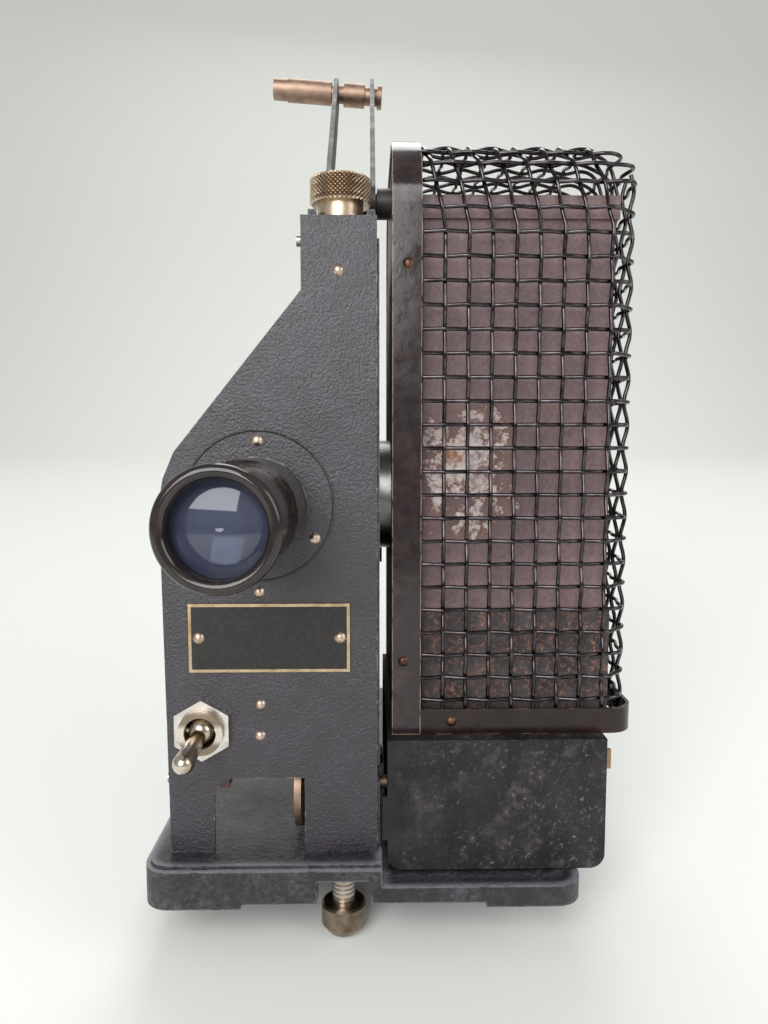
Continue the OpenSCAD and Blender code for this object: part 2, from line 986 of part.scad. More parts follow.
module aperture_plate() {
    window_w = 10.3;
    window_h = 7.5;
    plate = 2;
    side = lens_x + film_w / 2 + gate_border;
    stand() color(bright_steel) {
        difference() {
            along_y(gate_y, plate)
                gate_outline(window_w, window_h);
            block([claw_x - 0.8, gate_y - 1, claw_z - 2], [claw_x + 2.4, gate_y + plate + 1, claw_z + 10]);
        }
        for (z = [[lens_z - 20, lens_z - 14], [lens_z + 12, lens_z + 20]])
            block([side, gate_y, z[0]], [frame_left, gate_y + plate, z[1]]);
    }
}

module pressure_plate() {
    window_w = 12;
    window_h = 9;
    plate = 1.6;
    stand() color(bright_steel)
        along_y(gate_y - 0.3 - plate, plate)
            gate_outline(window_w, window_h);
}

module pull_down_claw() {
    arm_y = shaft_y + cam_r + 3;
    arm_half = 2;
    finger_h = 1.6;
    bar_right = claw_x + claw_bar_w;
    bar_back = claw_bar_y + claw_bar_t;
    stand() color(bright_steel) {
        block([claw_x, gate_y + 0.4, claw_z], [claw_x + finger_h, bar_back, claw_z + finger_h]);
        block([claw_x, claw_bar_y, claw_z], [bar_right, bar_back, cam_z + arm_half]);
        block([claw_x, arm_y, cam_z - arm_half], [bar_right, bar_back, cam_z + arm_half]);
        block([claw_x, arm_y, cam_z - arm_half],
            [shaft_x + arm_half, arm_y + claw_bar_t, cam_z + arm_half]);
        rod_y(shaft_y + cam_r + 0.4, arm_y + 1, shaft_x, cam_z, 1.2);
    }
}

module roller_studs() {
    stud_end = lens_x - film_w / 2 - 3;
    stand() color(bright_steel)
        for (p = [[upper_roller_y, upper_roller_z], [lower_roller_y, lower_roller_z]]) {
            rod_x(stud_end, frame_left, p[0], p[1], stud_r);
            rod_x(stud_end - 1.4, stud_end, p[0], p[1], stud_r + 1.2);
        }
}

module film_roller(y, z) {
    left = lens_x - film_w / 2 - 2;
    right = lens_x + film_w / 2 + 2;
    relief = 2.4;
    stand() color(worn_brass) difference() {
        rod_x(left, right, y, z, roller_r);
        translate([left + relief + 2, y, z])
            rotate([0, 90, 0])
                difference() {
                    cylinder(h = right - left - 2 * relief - 4, r = roller_r + 1);
                    cylinder(h = right - left - 2 * relief - 4, r = roller_r - 1);
                }
        rod_x(left - 1, right + 1, y, z, stud_r + running_gap);
    }
}

module upper_roller() {
    film_roller(upper_roller_y, upper_roller_z);
}

module lower_roller() {
    film_roller(lower_roller_y, lower_roller_z);
}

// Light path

module beam_mirror() {
    stand() color(mirror_silver)
        translate([lens_x, beam_y, lens_z])
            rotate([0, 0, 45])
                translate([-mirror_side / 2, 0, -mirror_side / 2])
                    cube([mirror_side, mirror_t, mirror_side]);
}

module mirror_bracket() {
    back_t = 1.6;
    arm_front = beam_y + 6;
    arm_back = beam_y + 15;
    arm_low = lens_z - 17.2;
    arm_top = lens_z - 14.2;
    lug_right = lens_x + 3.6;
    lug_back = beam_y + 8.4;
    lug_top = lens_z - 9;
    stand() color(crinkle_black) {
        translate([lens_x, beam_y, lens_z])
            rotate([0, 0, 45])
                translate([-mirror_side / 2, mirror_t, -mirror_side / 2])
                    cube([mirror_side, back_t, mirror_side]);
        block([lens_x, arm_front, arm_low], [frame_left, arm_back, arm_top]);
        block([lens_x, arm_front, arm_low], [lug_right, lug_back, lug_top]);
    }
}

module condenser_tube() {
    right_end = house_left + 12;
    stand() color(bright_steel) difference() {
        rod_x(frame_right, right_end, beam_y, lens_z, condenser_r);
        rod_x(frame_right - 1, right_end + 1, beam_y, lens_z, condenser_r - condenser_wall);
    }
}

module condenser_lenses() {
    glass_r = condenser_r - condenser_wall;
    edge_t = 1.6;
    crown = 3.2;
    stand() color(lens_glass)
        for (x = [7, 14])
            translate([x, beam_y, lens_z]) {
                rod_x(0, edge_t, 0, 0, glass_r);
                translate([edge_t, 0, 0])
                    rotate([0, 90, 0])
                        dome(glass_r, crown);
            }
}

// Lamp house

module arched_outline(front, back, low, top, r) {
    translate([front, low])
        square([back - front, top - r - low]);
    translate([front + r, top - r])
        square([back - front - 2 * r, r]);
    for (y = [front + r, back - r])
        translate([y, top - r])
            circle(r);
}

module lamp_side_plate() {
    plate_t_side = 1.2;
    inset = band_t + 0.2;
    stand() color(house_brown) difference() {
        along_x(guard_left + 0.4, plate_t_side)
            arched_outline(guard_front + inset + 3, guard_back - inset - 3, motor_top, guard_top - 3,
                guard_top_r - 3);
        rod_x(0, 20, beam_y, lens_z, condenser_r + 0.1);
    }
}

module lamp_house() {
    inner_front = house_front + house_wall;
    inner_back = house_back - house_wall;
    slot_w = 3;
    stand() color(house_brown) difference() {
        block([house_left, house_front, house_low], [house_right, house_back, house_top - 2]);
        block([house_left + house_wall, inner_front, house_low - 1],
            [house_right - house_wall, inner_back, house_top]);
        rod_x(house_left - 1, house_left + 5, beam_y, lens_z, condenser_r + 0.1);
        for (y = [24, 34, 44, 54, 64])
            block([house_right - 3, y, 150], [house_right + 1, y + slot_w, 172]);
    }
}

module lamp_house_cap() {
    overlap = 1;
    rim = 4;
    stand() color(house_brown) difference() {
        block([house_left - overlap, house_front - overlap, house_top - 2 - rim],
            [house_right + overlap, house_back + overlap, house_top]);
        block([house_left, house_front, house_top - 3 - rim], [house_right, house_back, house_top - 1]);
    }
}

module lamp_house_skirt() {
    overlap = 0.9;
    stand() color(burnt_brown) difference() {
        block([house_left - overlap, house_front - overlap, house_low],
            [house_right + overlap, house_back + overlap, skirt_top]);
        block([house_left, house_front, house_low - 1], [house_right, house_back, skirt_top + 1]);
    }
}

module lamp_socket() {
    socket_r = 13;
    socket_top = 68;
    stand() color(worn_brass) difference() {
        rod_z(motor_top, socket_top, lamp_x, beam_y, socket_r);
        rod_z(bulb_low, socket_top + 1, lamp_x, beam_y, bulb_base_r + 0.1);
    }
}

module lamp_bulb() {
    bulb_r = 14;
    glass_low = 76;
    glass_top = 138;
    stand() {
        color(dull_nickel)
            rod_z(bulb_low, glass_low, lamp_x, beam_y, bulb_base_r);
        color(lens_glass) {
            rod_z(glass_low, glass_top, lamp_x, beam_y, bulb_r);
            translate([lamp_x, beam_y, glass_top])
                sphere(bulb_r);
        }
    }
}

module lamp_reflector() {
    dish_r = 34;
    dish_t = 1;
    dish_depth = 7.5;
    dish_x = 63.6;
    stand() color(mirror_silver) {
        translate([dish_x - dish_r, beam_y, lens_z])
            rotate([0, 90, 0])
                rotate_extrude()
                    intersection() {
                        difference() {
                            circle(dish_r);
                            circle(dish_r - dish_t);
                        }
                        translate([0, dish_r - dish_depth])
                            square([dish_r, dish_r]);
                    }
        rod_z(motor_top, lens_z - 16.5, 59, beam_y, 1.6);
    }
}

// Wire guard

module guard_side_band() {
    stand() color(japan_black)
        along_x(guard_left, side_band_w)
            difference() {
                arched_outline(guard_front, guard_back, motor_top, guard_top, guard_top_r);
                arched_outline(guard_front + band_t, guard_back - band_t, 0, guard_top - band_t,
                    guard_top_r - band_t);
            }
}

module guard_bottom_band() {
    inner = guard_corner_r - band_t;
    stand() color(japan_black)
        translate([0, 0, guard_low])
            difference() {
                linear_extrude(bottom_band_h)
                    intersection() {
                        rounded_square([-20, guard_front], [guard_right, guard_back], guard_corner_r);
                        translate([guard_left + side_band_w, guard_front])
                            square([100, guard_d]);
                    }
                translate([0, 0, -1])
                    linear_extrude(bottom_band_h + 2)
                        rounded_square([-20, guard_front + band_t],
                            [guard_right - band_t, guard_back - band_t], inner);
            }
}

// One wire bent in a plane: straight, a quarter turn, straight, a quarter turn, straight
module bent_wire(leg, span, r) {
    wire_r = wire_d / 2;
    rotate([90, 0, 0])
        cylinder(h = leg, r = wire_r, $fn = 16);
    translate([r, 0, 0])
        rotate([0, 0, 90])
            rotate_extrude(angle = 90)
                translate([r, 0])
                    circle(wire_r, $fn = 16);
    translate([r, r, 0])
        rotate([0, 90, 0])
            cylinder(h = span - 2 * r, r = wire_r, $fn = 16);
    translate([span - r, 0, 0])
        rotate_extrude(angle = 90)
            translate([r, 0])
                circle(wire_r, $fn = 16);
    translate([span, 0, 0])
        rotate([90, 0, 0])
            cylinder(h = leg, r = wire_r, $fn = 16);
}

module guard_hoops() {
    hoop_count = 9;
    first_hoop_x = 12.9;
    hoop_leg = guard_top - guard_top_r - guard_low - 1;
    stand() color(wire_grey)
        for (i = [0:hoop_count - 1])
            translate([first_hoop_x + i * wire_pitch, guard_front + hoop_in, guard_top - guard_top_r])
                rotate([90, 0, 90])
                    bent_wire(hoop_leg, guard_d - 2 * hoop_in, guard_top_r - hoop_in);
}

// One row of wire at a height: along the front, round the right side and back along the rear
module wrapped_row(front_y, z, right_x, corner_r) {
    mid_y = (guard_front + guard_back) / 2;
    translate([right_x - corner_r, front_y, z])
        rotate([0, 0, -90])
            mirror([1, 0, 0])
                bent_wire(right_x - corner_r - row_start_x, 2 * (mid_y - front_y), corner_r);
}

// Where a wrapped row meets the right side, which rounds inwards near the top
function row_right_x(z) =
    let (rise = max(0, z - side_bend_z))
    side_wire_x - side_bend_r + sqrt(pow(side_bend_r + hoop_in - rail_in, 2) - pow(rise, 2));

// Rows round three sides and round the arch, and the wires that come down the outer side
module guard_rails() {
    rail_count = 22;
    wrapped_arc_rows = 3;
    flat_rows = 6;
    first_rail_z = guard_low + 9;
    low_corner_r = guard_corner_r + 3 - rail_in;
    arc_corner_r = 5;
    arch_r = guard_top_r - rail_in;
    turn_step = wire_pitch / arch_r * 180 / PI;
    first_flat_y = guard_front + guard_top_r + 1.1;
    arch_z = guard_top - guard_top_r;
    stand() color(wire_grey) {
        for (i = [0:rail_count - 1])
            wrapped_row(guard_front + rail_in, first_rail_z + i * wire_pitch, guard_right - rail_in,
                low_corner_r);
        for (n = [1:wrapped_arc_rows]) {
            z = arch_z + arch_r * sin(n * turn_step);
            wrapped_row(guard_front + guard_top_r - arch_r * cos(n * turn_step), z, row_right_x(z),
                arc_corner_r);
        }
        crest_turn = (wrapped_arc_rows + 1) * turn_step;
        crest_in = guard_top_r - arch_r * cos(crest_turn);
        for (y = [guard_front + crest_in, guard_back - crest_in])
            rod_x(row_start_x, side_wire_x - side_bend_r, y, arch_z + arch_r * sin(crest_turn), wire_d / 2);
        for (i = [0:flat_rows - 1])
            cross_wire(first_flat_y + i * wire_pitch);
        for (i = [-2, -1, flat_rows, flat_rows + 1])
            rod_z(guard_low + 1, side_bend_z, side_wire_x, first_flat_y + i * wire_pitch, wire_d / 2);
    }
}

// A wire that crosses the flat top, bends over the right edge and runs down the side
module cross_wire(y) {
    top_z = guard_top - rail_in;
    rod_x(row_start_x, side_wire_x - side_bend_r, y, top_z, wire_d / 2);
    translate([side_wire_x - side_bend_r, y, side_bend_z])
        rotate([90, 0, 0])
            rotate_extrude(angle = 90)
                translate([side_bend_r, 0])
                    circle(wire_d / 2, $fn = 16);
    rod_z(guard_low + 1, side_bend_z, side_wire_x, y, wire_d / 2);
}

module guard_rivets() {
    stand() color(burnt_brown) {
        rivet_at(9.4, 168, guard_front);
        rivet_at(8.3, 63, guard_front);
        rivet_at(21.4, 46.2, guard_front);
    }
}

// Motor housing and what it holds

module motor_housing() {
    tab_left = 2.6;
    tab_low = 15;
    tab_top = 27;
    foot_left = 16;
    foot_right = 50;
    foot_length = 12;
    stand() color(crinkle_black) {
        difference() {
            along_y(motor_front, motor_back - motor_front)
                union() {
                    rounded_square([motor_left, motor_low], [motor_right, motor_top], motor_edge_r);
                    translate([motor_left, motor_low + 2])
                        square([20, motor_top - motor_low - 2]);
                    translate([motor_left, motor_top - 8])
                        square([motor_right - motor_left, 8]);
                }
            along_y(motor_front + motor_wall, motor_back - motor_front - 2 * motor_wall)
                rounded_square([motor_left + motor_wall, motor_low + motor_wall],
                    [motor_right - motor_wall, motor_top - motor_wall], motor_edge_r - motor_wall);
            rod_x(motor_left - 2, motor_left + 2, shaft_y, motor_z, 4);
            rod_y(motor_back - 4, motor_back + 1, inlet_x, inlet_z, inlet_r + 0.02);
            rod_x(motor_right - 3, motor_right + 1, speed_y, speed_z, speed_shaft_r + 0.1);
        }
        block([tab_left, motor_front, tab_low], [motor_left, motor_front + motor_wall, tab_top]);
        for (y = [6, 66])
            block([foot_left, y, ledge_h], [foot_right, y + foot_length, motor_low]);
    }
}

module motor_field() {
    field_left = 12;
    field_w = 26;
    bearing_left = 45.6;
    strap_t = 1.6;
    floor_z = motor_low + motor_wall;
    stand() color(bright_steel) {
        difference() {
            block([field_left, 1.2, floor_z], [field_left + field_w, 27.4, 39]);
            rod_x(field_left - 1, field_left + field_w + 1, shaft_y, motor_z, 10.4);
        }
        difference() {
            block([bearing_left, shaft_y - 6, floor_z], [bearing_left + 3, shaft_y + 6, motor_z + 6]);
            rod_x(bearing_left - 1, bearing_left + 4, shaft_y, motor_z, motor_shaft_r + running_gap);
        }
        block([field_left + 1, shaft_y - 6, floor_z], [bearing_left + 1, shaft_y + 6, floor_z + strap_t]);
    }
}

module motor_armature() {
    disc_t = 1.9;
    shaft_end = 48;
    core_r = 10;
    commutator_r = 6;
    stand() color(worn_brass) {
        rod_x(friction_face_x - disc_t, shaft_end, shaft_y, motor_z, motor_shaft_r);
        rod_x(friction_face_x - disc_t, friction_face_x, shaft_y, motor_z, friction_disc_d / 2);
        rod_x(13, 37, shaft_y, motor_z, core_r);
        rod_x(38, 44, shaft_y, motor_z, commutator_r);
    }
}

module speed_control() {
    inner = motor_right + 0.3;
    outer = motor_right + 1.7;
    lever_half = 2.4;
    lever_low = 29.8;
    tab_t = 1.4;
    tab_high = 35.3;
    tab_out = motor_right + 4.5;
    stand() color(worn_brass) {
        rod_x(motor_right - 4, outer, speed_y, speed_z, speed_shaft_r);
        rod_x(inner, outer, speed_y, speed_z, 2.5);
        block([inner, speed_y - lever_half, lever_low], [outer, speed_y + lever_half, speed_z - 1]);
        block([inner, speed_y - lever_half, lever_low],
            [tab_out, speed_y - lever_half + tab_t, tab_high]);
    }
}

module power_inlet() {
    pin_apart = 4;
    pin_r = 2;
    stand() {
        color(bakelite)
            rod_y(motor_back - 8, motor_back + 2, inlet_x, inlet_z, inlet_r);
        color(worn_brass)
            for (x = [inlet_x - pin_apart, inlet_x + pin_apart])
                rod_y(motor_back + 2, motor_back + 12, x, inlet_z, pin_r);
    }
}

// Reel arm

module arm_leaf(x_low) {
    run = spindle_y - pivot_y;
    rise = spindle_z - pivot_z;
    length = norm([run, rise]);
    angle = atan2(rise, run);
    along_x(x_low, arm_leaf_t)
        translate([pivot_y, pivot_z])
            rotate(angle) {
                translate([0, -arm_w / 2])
                    square([length, arm_w]);
                circle(arm_w / 2);
                translate([length, 0])
                    circle(arm_w / 2);
            }
}

module spindle_axis() {
    translate([(left_leaf_x + right_leaf_x) / 2, spindle_y, spindle_z])
        rotate([0, spindle_rise, 0])
            rotate([0, -90, 0])
                children();
}

module arm_pivot() {
    head_r = pivot_r + 1.4;
    head_t = 1.6;
    play = 0.4;
    left_face = left_leaf_x - arm_leaf_t - play;
    right_face = right_leaf_x + arm_leaf_t + play;
    stand() color(wire_grey) {
        rod_x(left_face - play, guard_left + 0.4, pivot_y, pivot_z, pivot_r);
        rod_x(left_face - head_t, left_face, pivot_y, pivot_z, head_r);
        rod_x(right_face, guard_left + 0.4, pivot_y, pivot_z, head_r);
    }
}

module reel_arm() {
    spacer_r = 4.6;
    stand() color(wire_grey) difference() {
        union() {
            arm_leaf(left_leaf_x - arm_leaf_t);
            arm_leaf(right_leaf_x);
            rod_x(left_leaf_x, right_leaf_x, pivot_y, pivot_z, spacer_r);
        }
        spindle_axis()
            translate([0, 0, -20])
                cylinder(h = 60, r = spindle_core_r + running_gap);
        rod_x(-30, 10, pivot_y, pivot_z, pivot_r + running_gap);
    }
}

module reel_spindle() {
    collar_r = 4;
    collar_half = 3.7;
    washer_t = 1.6;
    left_face = spindle_leaf_out + 1.1;
    right_face = -spindle_leaf_out - 1.2;
    stand() color(worn_brass)
        spindle_axis() {
            translate([0, 0, right_face - washer_t])
                cylinder(h = washer_t, r = collar_r);
            translate([0, 0, right_face - washer_t / 2])
                cylinder(h = left_face - right_face + washer_t, r = spindle_core_r);
            translate([0, 0, -collar_half])
                cylinder(h = 2 * collar_half, r = collar_r);
            translate([0, 0, left_face])
                cylinder(h = spindle_sleeve, r = spindle_d / 2);
            translate([0, 0, left_face + spindle_sleeve])
                cylinder(h = spindle_tip, r = spindle_d / 2 - 0.35);
        }
}

module take_up_arm() {
    bore_r = spindle_core_r + running_gap;
    root_y = frame_back - 18;
    root_half = 18;
    taper_in = 0.5;
    face = frame_right + take_up_arm_t;
    stand() color(crinkle_black) difference() {
        union() {
            along_x(frame_right, take_up_arm_t)
                polygon([
                    [root_y, take_up_z - root_half],
                    [take_up_y, take_up_z - take_up_end_r + taper_in],
                    [take_up_y, take_up_z + take_up_end_r - taper_in],
                    [root_y, take_up_z + root_half]
                ]);
            rod_x(frame_right, face, take_up_y, take_up_z, take_up_end_r);
        }
        rod_x(frame_right - 1, face + 1, take_up_y, take_up_z, bore_r);
    }
}

module take_up_spindle() {
    left_face = frame_right - 0.3;
    right_face = frame_right + take_up_arm_t + 0.3;
    reel_end = 34;
    flange_r = 8;
    pulley_r = 12;
    groove_r = 10.5;
    cheek_t = 1;
    groove_w = 2;
    stand() color(worn_brass) {
        rod_x(left_face - 1, right_face + 1, take_up_y, take_up_z, spindle_core_r);
        rod_x(left_face - reel_end, left_face, take_up_y, take_up_z, spindle_d / 2);
        rod_x(left_face - 1.6, left_face, take_up_y, take_up_z, flange_r);
        rod_x(right_face, right_face + 2 * cheek_t + groove_w, take_up_y, take_up_z, groove_r);
        for (x = [right_face, right_face + cheek_t + groove_w])
            rod_x(x, x + cheek_t, take_up_y, take_up_z, pulley_r);
    }
}

base_casting();
elevating_screw();
elevating_foot();
front_panel();
lens_flange();
panel_rivets();
lens_mount_tube();
lens_barrel();
lens_elements();
name_plate();
plate_screws();
switch_body();
switch_bushing();
switch_nut();
switch_lever();
mechanism_frame();
frame_screws();
upper_bearing();
lower_bearing();
main_shaft();
drive_knob();
friction_wheel();
drive_gear();
feed_worm();
cam_drum();
shutter_bearing();
shutter();
film_sprocket();
pull_down_claw();
aperture_plate();
pressure_plate();
roller_studs();
upper_roller();
lower_roller();
beam_mirror();
mirror_bracket();
condenser_tube();
condenser_lenses();
lamp_side_plate();
lamp_house();
lamp_house_cap();
lamp_house_skirt();
lamp_socket();
lamp_bulb();
lamp_reflector();
guard_side_band();
guard_bottom_band();
guard_hoops();
guard_rails();
guard_rivets();
motor_housing();
motor_field();
motor_armature();
speed_control();
power_inlet();
arm_pivot();
reel_arm();
reel_spindle();
take_up_arm();
take_up_spindle();
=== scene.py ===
import math

import bpy
from mathutils import Euler, Matrix, Vector


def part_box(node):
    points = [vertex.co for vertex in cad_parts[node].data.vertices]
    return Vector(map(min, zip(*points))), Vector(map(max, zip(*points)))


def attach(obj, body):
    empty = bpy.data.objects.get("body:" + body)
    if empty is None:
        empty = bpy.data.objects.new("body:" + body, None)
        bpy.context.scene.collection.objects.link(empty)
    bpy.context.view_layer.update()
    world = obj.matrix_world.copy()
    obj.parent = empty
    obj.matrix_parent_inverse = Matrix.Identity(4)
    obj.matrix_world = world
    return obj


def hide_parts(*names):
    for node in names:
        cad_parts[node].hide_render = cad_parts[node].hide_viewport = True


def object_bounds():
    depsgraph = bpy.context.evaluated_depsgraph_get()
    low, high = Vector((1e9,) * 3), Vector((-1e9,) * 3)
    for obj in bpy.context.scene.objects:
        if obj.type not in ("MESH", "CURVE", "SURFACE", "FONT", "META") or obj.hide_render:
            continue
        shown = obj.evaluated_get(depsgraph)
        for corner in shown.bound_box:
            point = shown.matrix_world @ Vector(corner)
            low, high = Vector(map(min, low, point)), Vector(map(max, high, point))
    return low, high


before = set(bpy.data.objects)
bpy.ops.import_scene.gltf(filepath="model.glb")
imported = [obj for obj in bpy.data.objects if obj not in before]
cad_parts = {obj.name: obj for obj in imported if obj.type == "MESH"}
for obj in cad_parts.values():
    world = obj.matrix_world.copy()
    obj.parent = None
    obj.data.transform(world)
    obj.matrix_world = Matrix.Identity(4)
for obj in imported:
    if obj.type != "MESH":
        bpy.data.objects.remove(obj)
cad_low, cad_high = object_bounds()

# Castings: the base, the mechanism's frame, the bearings, the mirror's bracket, the take-up arm.
# They are grey iron, cast in sand, filed where they meet and screwed together, and stoved in
# black crinkle japan.
SHARE, UNDER, OVER, BLEND = 0, 6, 7, 2  # sockets of a Mix node that blends two colours
MOTTLE_MM, SHEEN_MM, RUB_MM = 9, 5, 3.5
# The pale colour of the strip on the base's upper edges is a painted highlight.
LEDGE_MM, LEDGE_SHEEN_COLOUR = 5, "8a8790"


def linear(colour):
    """A hex colour of the screen as linear light."""
    parts = [int(colour[i:i + 2], 16) / 255 for i in (0, 2, 4)]
    return [c / 12.92 if c <= 0.04045 else ((c + 0.055) / 1.055) ** 2.4 for c in parts] + [1]


def feed(tree, made, inputs):
    """Joins a node's sockets to other sockets, or sets them to a value or a hex colour."""
    for name, value in inputs.items():
        socket = made.inputs[name]
        if isinstance(value, bpy.types.NodeSocket):
            tree.links.new(value, socket)
        else:
            socket.default_value = linear(value) if isinstance(value, str) else value


def node(tree, kind, inputs=None, **properties):
    """Adds a shader node with its settings and links."""
    made = tree.nodes.new("ShaderNode" + kind)
    for name, value in properties.items():
        setattr(made, name, value)
    feed(tree, made, inputs or {})
    return made


def inside(material):
    """A material's node tree and its shader."""
    tree = material.node_tree
    return tree, next(n for n in tree.nodes if n.type == "BSDF_PRINCIPLED")


def new_material(name):
    """A plain material, its tree, its shader, and the place that its patterns are laid from."""
    material = bpy.data.materials.new(name)
    material.use_nodes = True
    tree, shader = inside(material)
    return material, tree, shader, node(tree, "TexCoord").outputs["Object"]


def patches(tree, place, size_mm, spread, detail=4, roughness=0.55, ends=(0, 1)):
    """A cloud with lumps about that size, spread out to run from one end's value to the other's."""
    cloud = node(tree, "TexNoise", {"Vector": place, "Scale": 1000 / size_mm, "Detail": detail,
                                    "Roughness": roughness})
    made = node(tree, "MapRange", {"Value": cloud.outputs["Fac"], "From Min": spread[0],
                                   "From Max": spread[1], "To Min": ends[0], "To Max": ends[1]})
    return made.outputs["Result"]


def two_tone(tree, place, size_mm, colours, spread=(0.35, 0.65), detail=4, roughness=0.55):
    """Two colours in patches that run into each other."""
    share = patches(tree, place, size_mm, spread, detail, roughness)
    return node(tree, "Mix", {SHARE: share, UNDER: colours[0], OVER: colours[1]},
                data_type="RGBA").outputs[BLEND]


def grain(tree, shader, place, size_mm, depth_mm, detail=4, roughness=0.55):
    """Roughens the surface with lumps of that size, and gives their height."""
    height = patches(tree, place, size_mm, (0, 1), detail, roughness)
    relief = node(tree, "Bump", {"Height": height, "Strength": 1, "Distance": depth_mm / 1000})
    feed(tree, shader, {"Normal": relief.outputs["Normal"]})
    return height


def near_edges(tree, radius_mm, spread):
    """1 close to edges and corners, which hands and tools rub and where a painted highlight goes on
    the base's rounded top, and 0 on the open surface.

    It sets the way the surface faces against the way it would face if it were rounded by the
    radius. The spread of their likeness runs from a full rub to none.
    """
    own = node(tree, "NewGeometry").outputs["Normal"]
    rounded = node(tree, "Bevel", {"Radius": radius_mm / 1000}, samples=6).outputs["Normal"]
    alike = node(tree, "VectorMath", {0: own, 1: rounded}, operation="DOT_PRODUCT")
    return node(tree, "MapRange", {"Value": alike.outputs["Value"], "From Min": spread[1],
                                   "From Max": spread[0]}).outputs["Result"]


def japan(name, colours, grain_mm, grain_depth_mm, roughness, wear, wear_share, ior=1.55,
          edge_mm=0.45):
    """Stoved japan, mottled and grained, with the colour of wear along its edges. The grain's
    crests take the mottled colour and its hollows the darkest one: painted glints and painted
    shade.
    """
    material, tree, shader, place = new_material(name)
    mottled = two_tone(tree, place, MOTTLE_MM, colours)
    height = grain(tree, shader, place, grain_mm, grain_depth_mm, detail=3, roughness=0.6)
    # Painted glints and shade: the crests of the grain are coloured lighter and its hollows darker.
    lit_crests = node(tree, "MapRange", {"Value": height, "From Min": 0.38, "From Max": 0.66})
    grained = node(tree, "Mix", {SHARE: lit_crests.outputs["Result"], UNDER: colours[0],
                                 OVER: mottled}, data_type="RGBA").outputs[BLEND]
    edges = near_edges(tree, edge_mm, spread=(0.80, 0.97))
    rubs = patches(tree, place, RUB_MM, (0.62 - wear_share, 0.70 - wear_share), detail=6)
    worn = node(tree, "Math", {0: edges, 1: rubs}, operation="MULTIPLY").outputs[0]
    painted = node(tree, "Mix", {SHARE: worn, UNDER: grained, OVER: wear}, data_type="RGBA")
    feed(tree, shader, {"Base Color": painted.outputs[BLEND], "IOR": ior,
                        "Roughness": patches(tree, place, SHEEN_MM, (0.3, 0.7), ends=roughness)})
    return material


def dress(material, *names):
    """Puts a material on pieces of the frame."""
    for name in names:
        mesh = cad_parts[name].data
        if not mesh.materials:
            mesh.materials.append(material)
        for i in range(len(mesh.materials)):
            mesh.materials[i] = material


# Crinkle japan on cast iron: an oil paint whose skin wrinkles in the stove. Its crests, 1.4 mm
# apart, are painted paler over a dull black as painted glints. Its edges are rubbed to grey, and
# that grey is made wide enough to be partly a painted highlight along the edges too.
crinkle = japan("crinkle_japan_on_cast_iron", colours=("1b181b", "48434b"), grain_mm=1.4,
                grain_depth_mm=0.55, roughness=(0.32, 0.46), wear="6f6b74", wear_share=0.24,
                edge_mm=0.9)
# Painted highlight: a paler strip along the edges of what faces up, where the base's top is rounded
# off and lit from above. It stands in for the sheen of that light.
tree, shader = inside(crinkle)
facing = node(tree, "SeparateXYZ", {"Vector": node(tree, "NewGeometry").outputs["Normal"]})
upward = node(tree, "MapRange", {"Value": facing.outputs["Z"], "From Min": 0.7, "From Max": 0.9})
strip = near_edges(tree, LEDGE_MM, spread=(0.86, 0.995))
ledge_sheen = node(tree, "Math", {0: upward.outputs["Result"], 1: strip}, operation="MULTIPLY")
painted = shader.inputs["Base Color"].links[0].from_socket
sheened = node(tree, "Mix", {SHARE: ledge_sheen.outputs[0], UNDER: painted, OVER: LEDGE_SHEEN_COLOUR},
             data_type="RGBA")
feed(tree, shader, {"Base Color": sheened.outputs[BLEND]})
dress(crinkle, "base_casting", "mechanism_frame", "upper_bearing", "lower_bearing",
      "shutter_bearing", "mirror_bracket", "take_up_arm")

# Steel works: shaft, worm, cam drum, shutter, claw, gate plates, studs, condenser tube, screws and
# the motor's field. They are mild steel, turned, milled or blanked, and left bare under oil.
TONE_MM, POLISH_MM, GRAIN_DEPTH_MM = 4, 2, 0.02


def worn_metal(name, colours, roughness, grain_mm=1.2, dirt="3a2f26"):
    """Bare or plated metal in two tones, with specks of dirt as large as its grain."""
    material, tree, shader, place = new_material(name)
    tone = two_tone(tree, place, TONE_MM, colours, spread=(0.3, 0.7))
    specks = patches(tree, place, grain_mm, (0.60, 0.74), detail=7, roughness=0.7)
    darkened = node(tree, "Mix", {SHARE: specks, UNDER: tone, OVER: dirt}, data_type="RGBA")
    grain(tree, shader, place, grain_mm, GRAIN_DEPTH_MM)
    feed(tree, shader, {"Base Color": darkened.outputs[BLEND], "Metallic": 1,
                        "Roughness": patches(tree, place, POLISH_MM, (0, 1), ends=roughness)})
    return material


# Turned steel: a grey metal with a soft shine. Tool marks are finer than a pixel, so its grain of
# 1.2 mm is drawn coarser than they are.
steel = worn_metal("turned_steel", colours=("8c8c8c", "b4b4b2"), roughness=(0.22, 0.38))
dress(steel, "main_shaft", "feed_worm", "cam_drum", "shutter", "pull_down_claw", "aperture_plate",
      "pressure_plate", "roller_studs", "condenser_tube", "motor_field", "frame_screws")

# Brass works: the drive gear, the film sprocket, the rollers, the lamp's socket, the speed lever.
# They are turned or cut from brass rod and sheet, and fixed to their shafts or run on studs.

# Bare brass, worn: a brown-yellow metal that shines where it is touched.
brass = worn_metal("worn_bare_brass", colours=("8a6f54", "b89b78"), roughness=(0.28, 0.5))
dress(brass, "drive_gear", "film_sprocket", "upper_roller", "lower_roller", "lamp_socket",
      "speed_control")

# Spindles and friction disc: the two reel spindles, and the disc in one with the motor's armature.
# They are turned from red brass. Reels are slid on and off the spindles by hand.

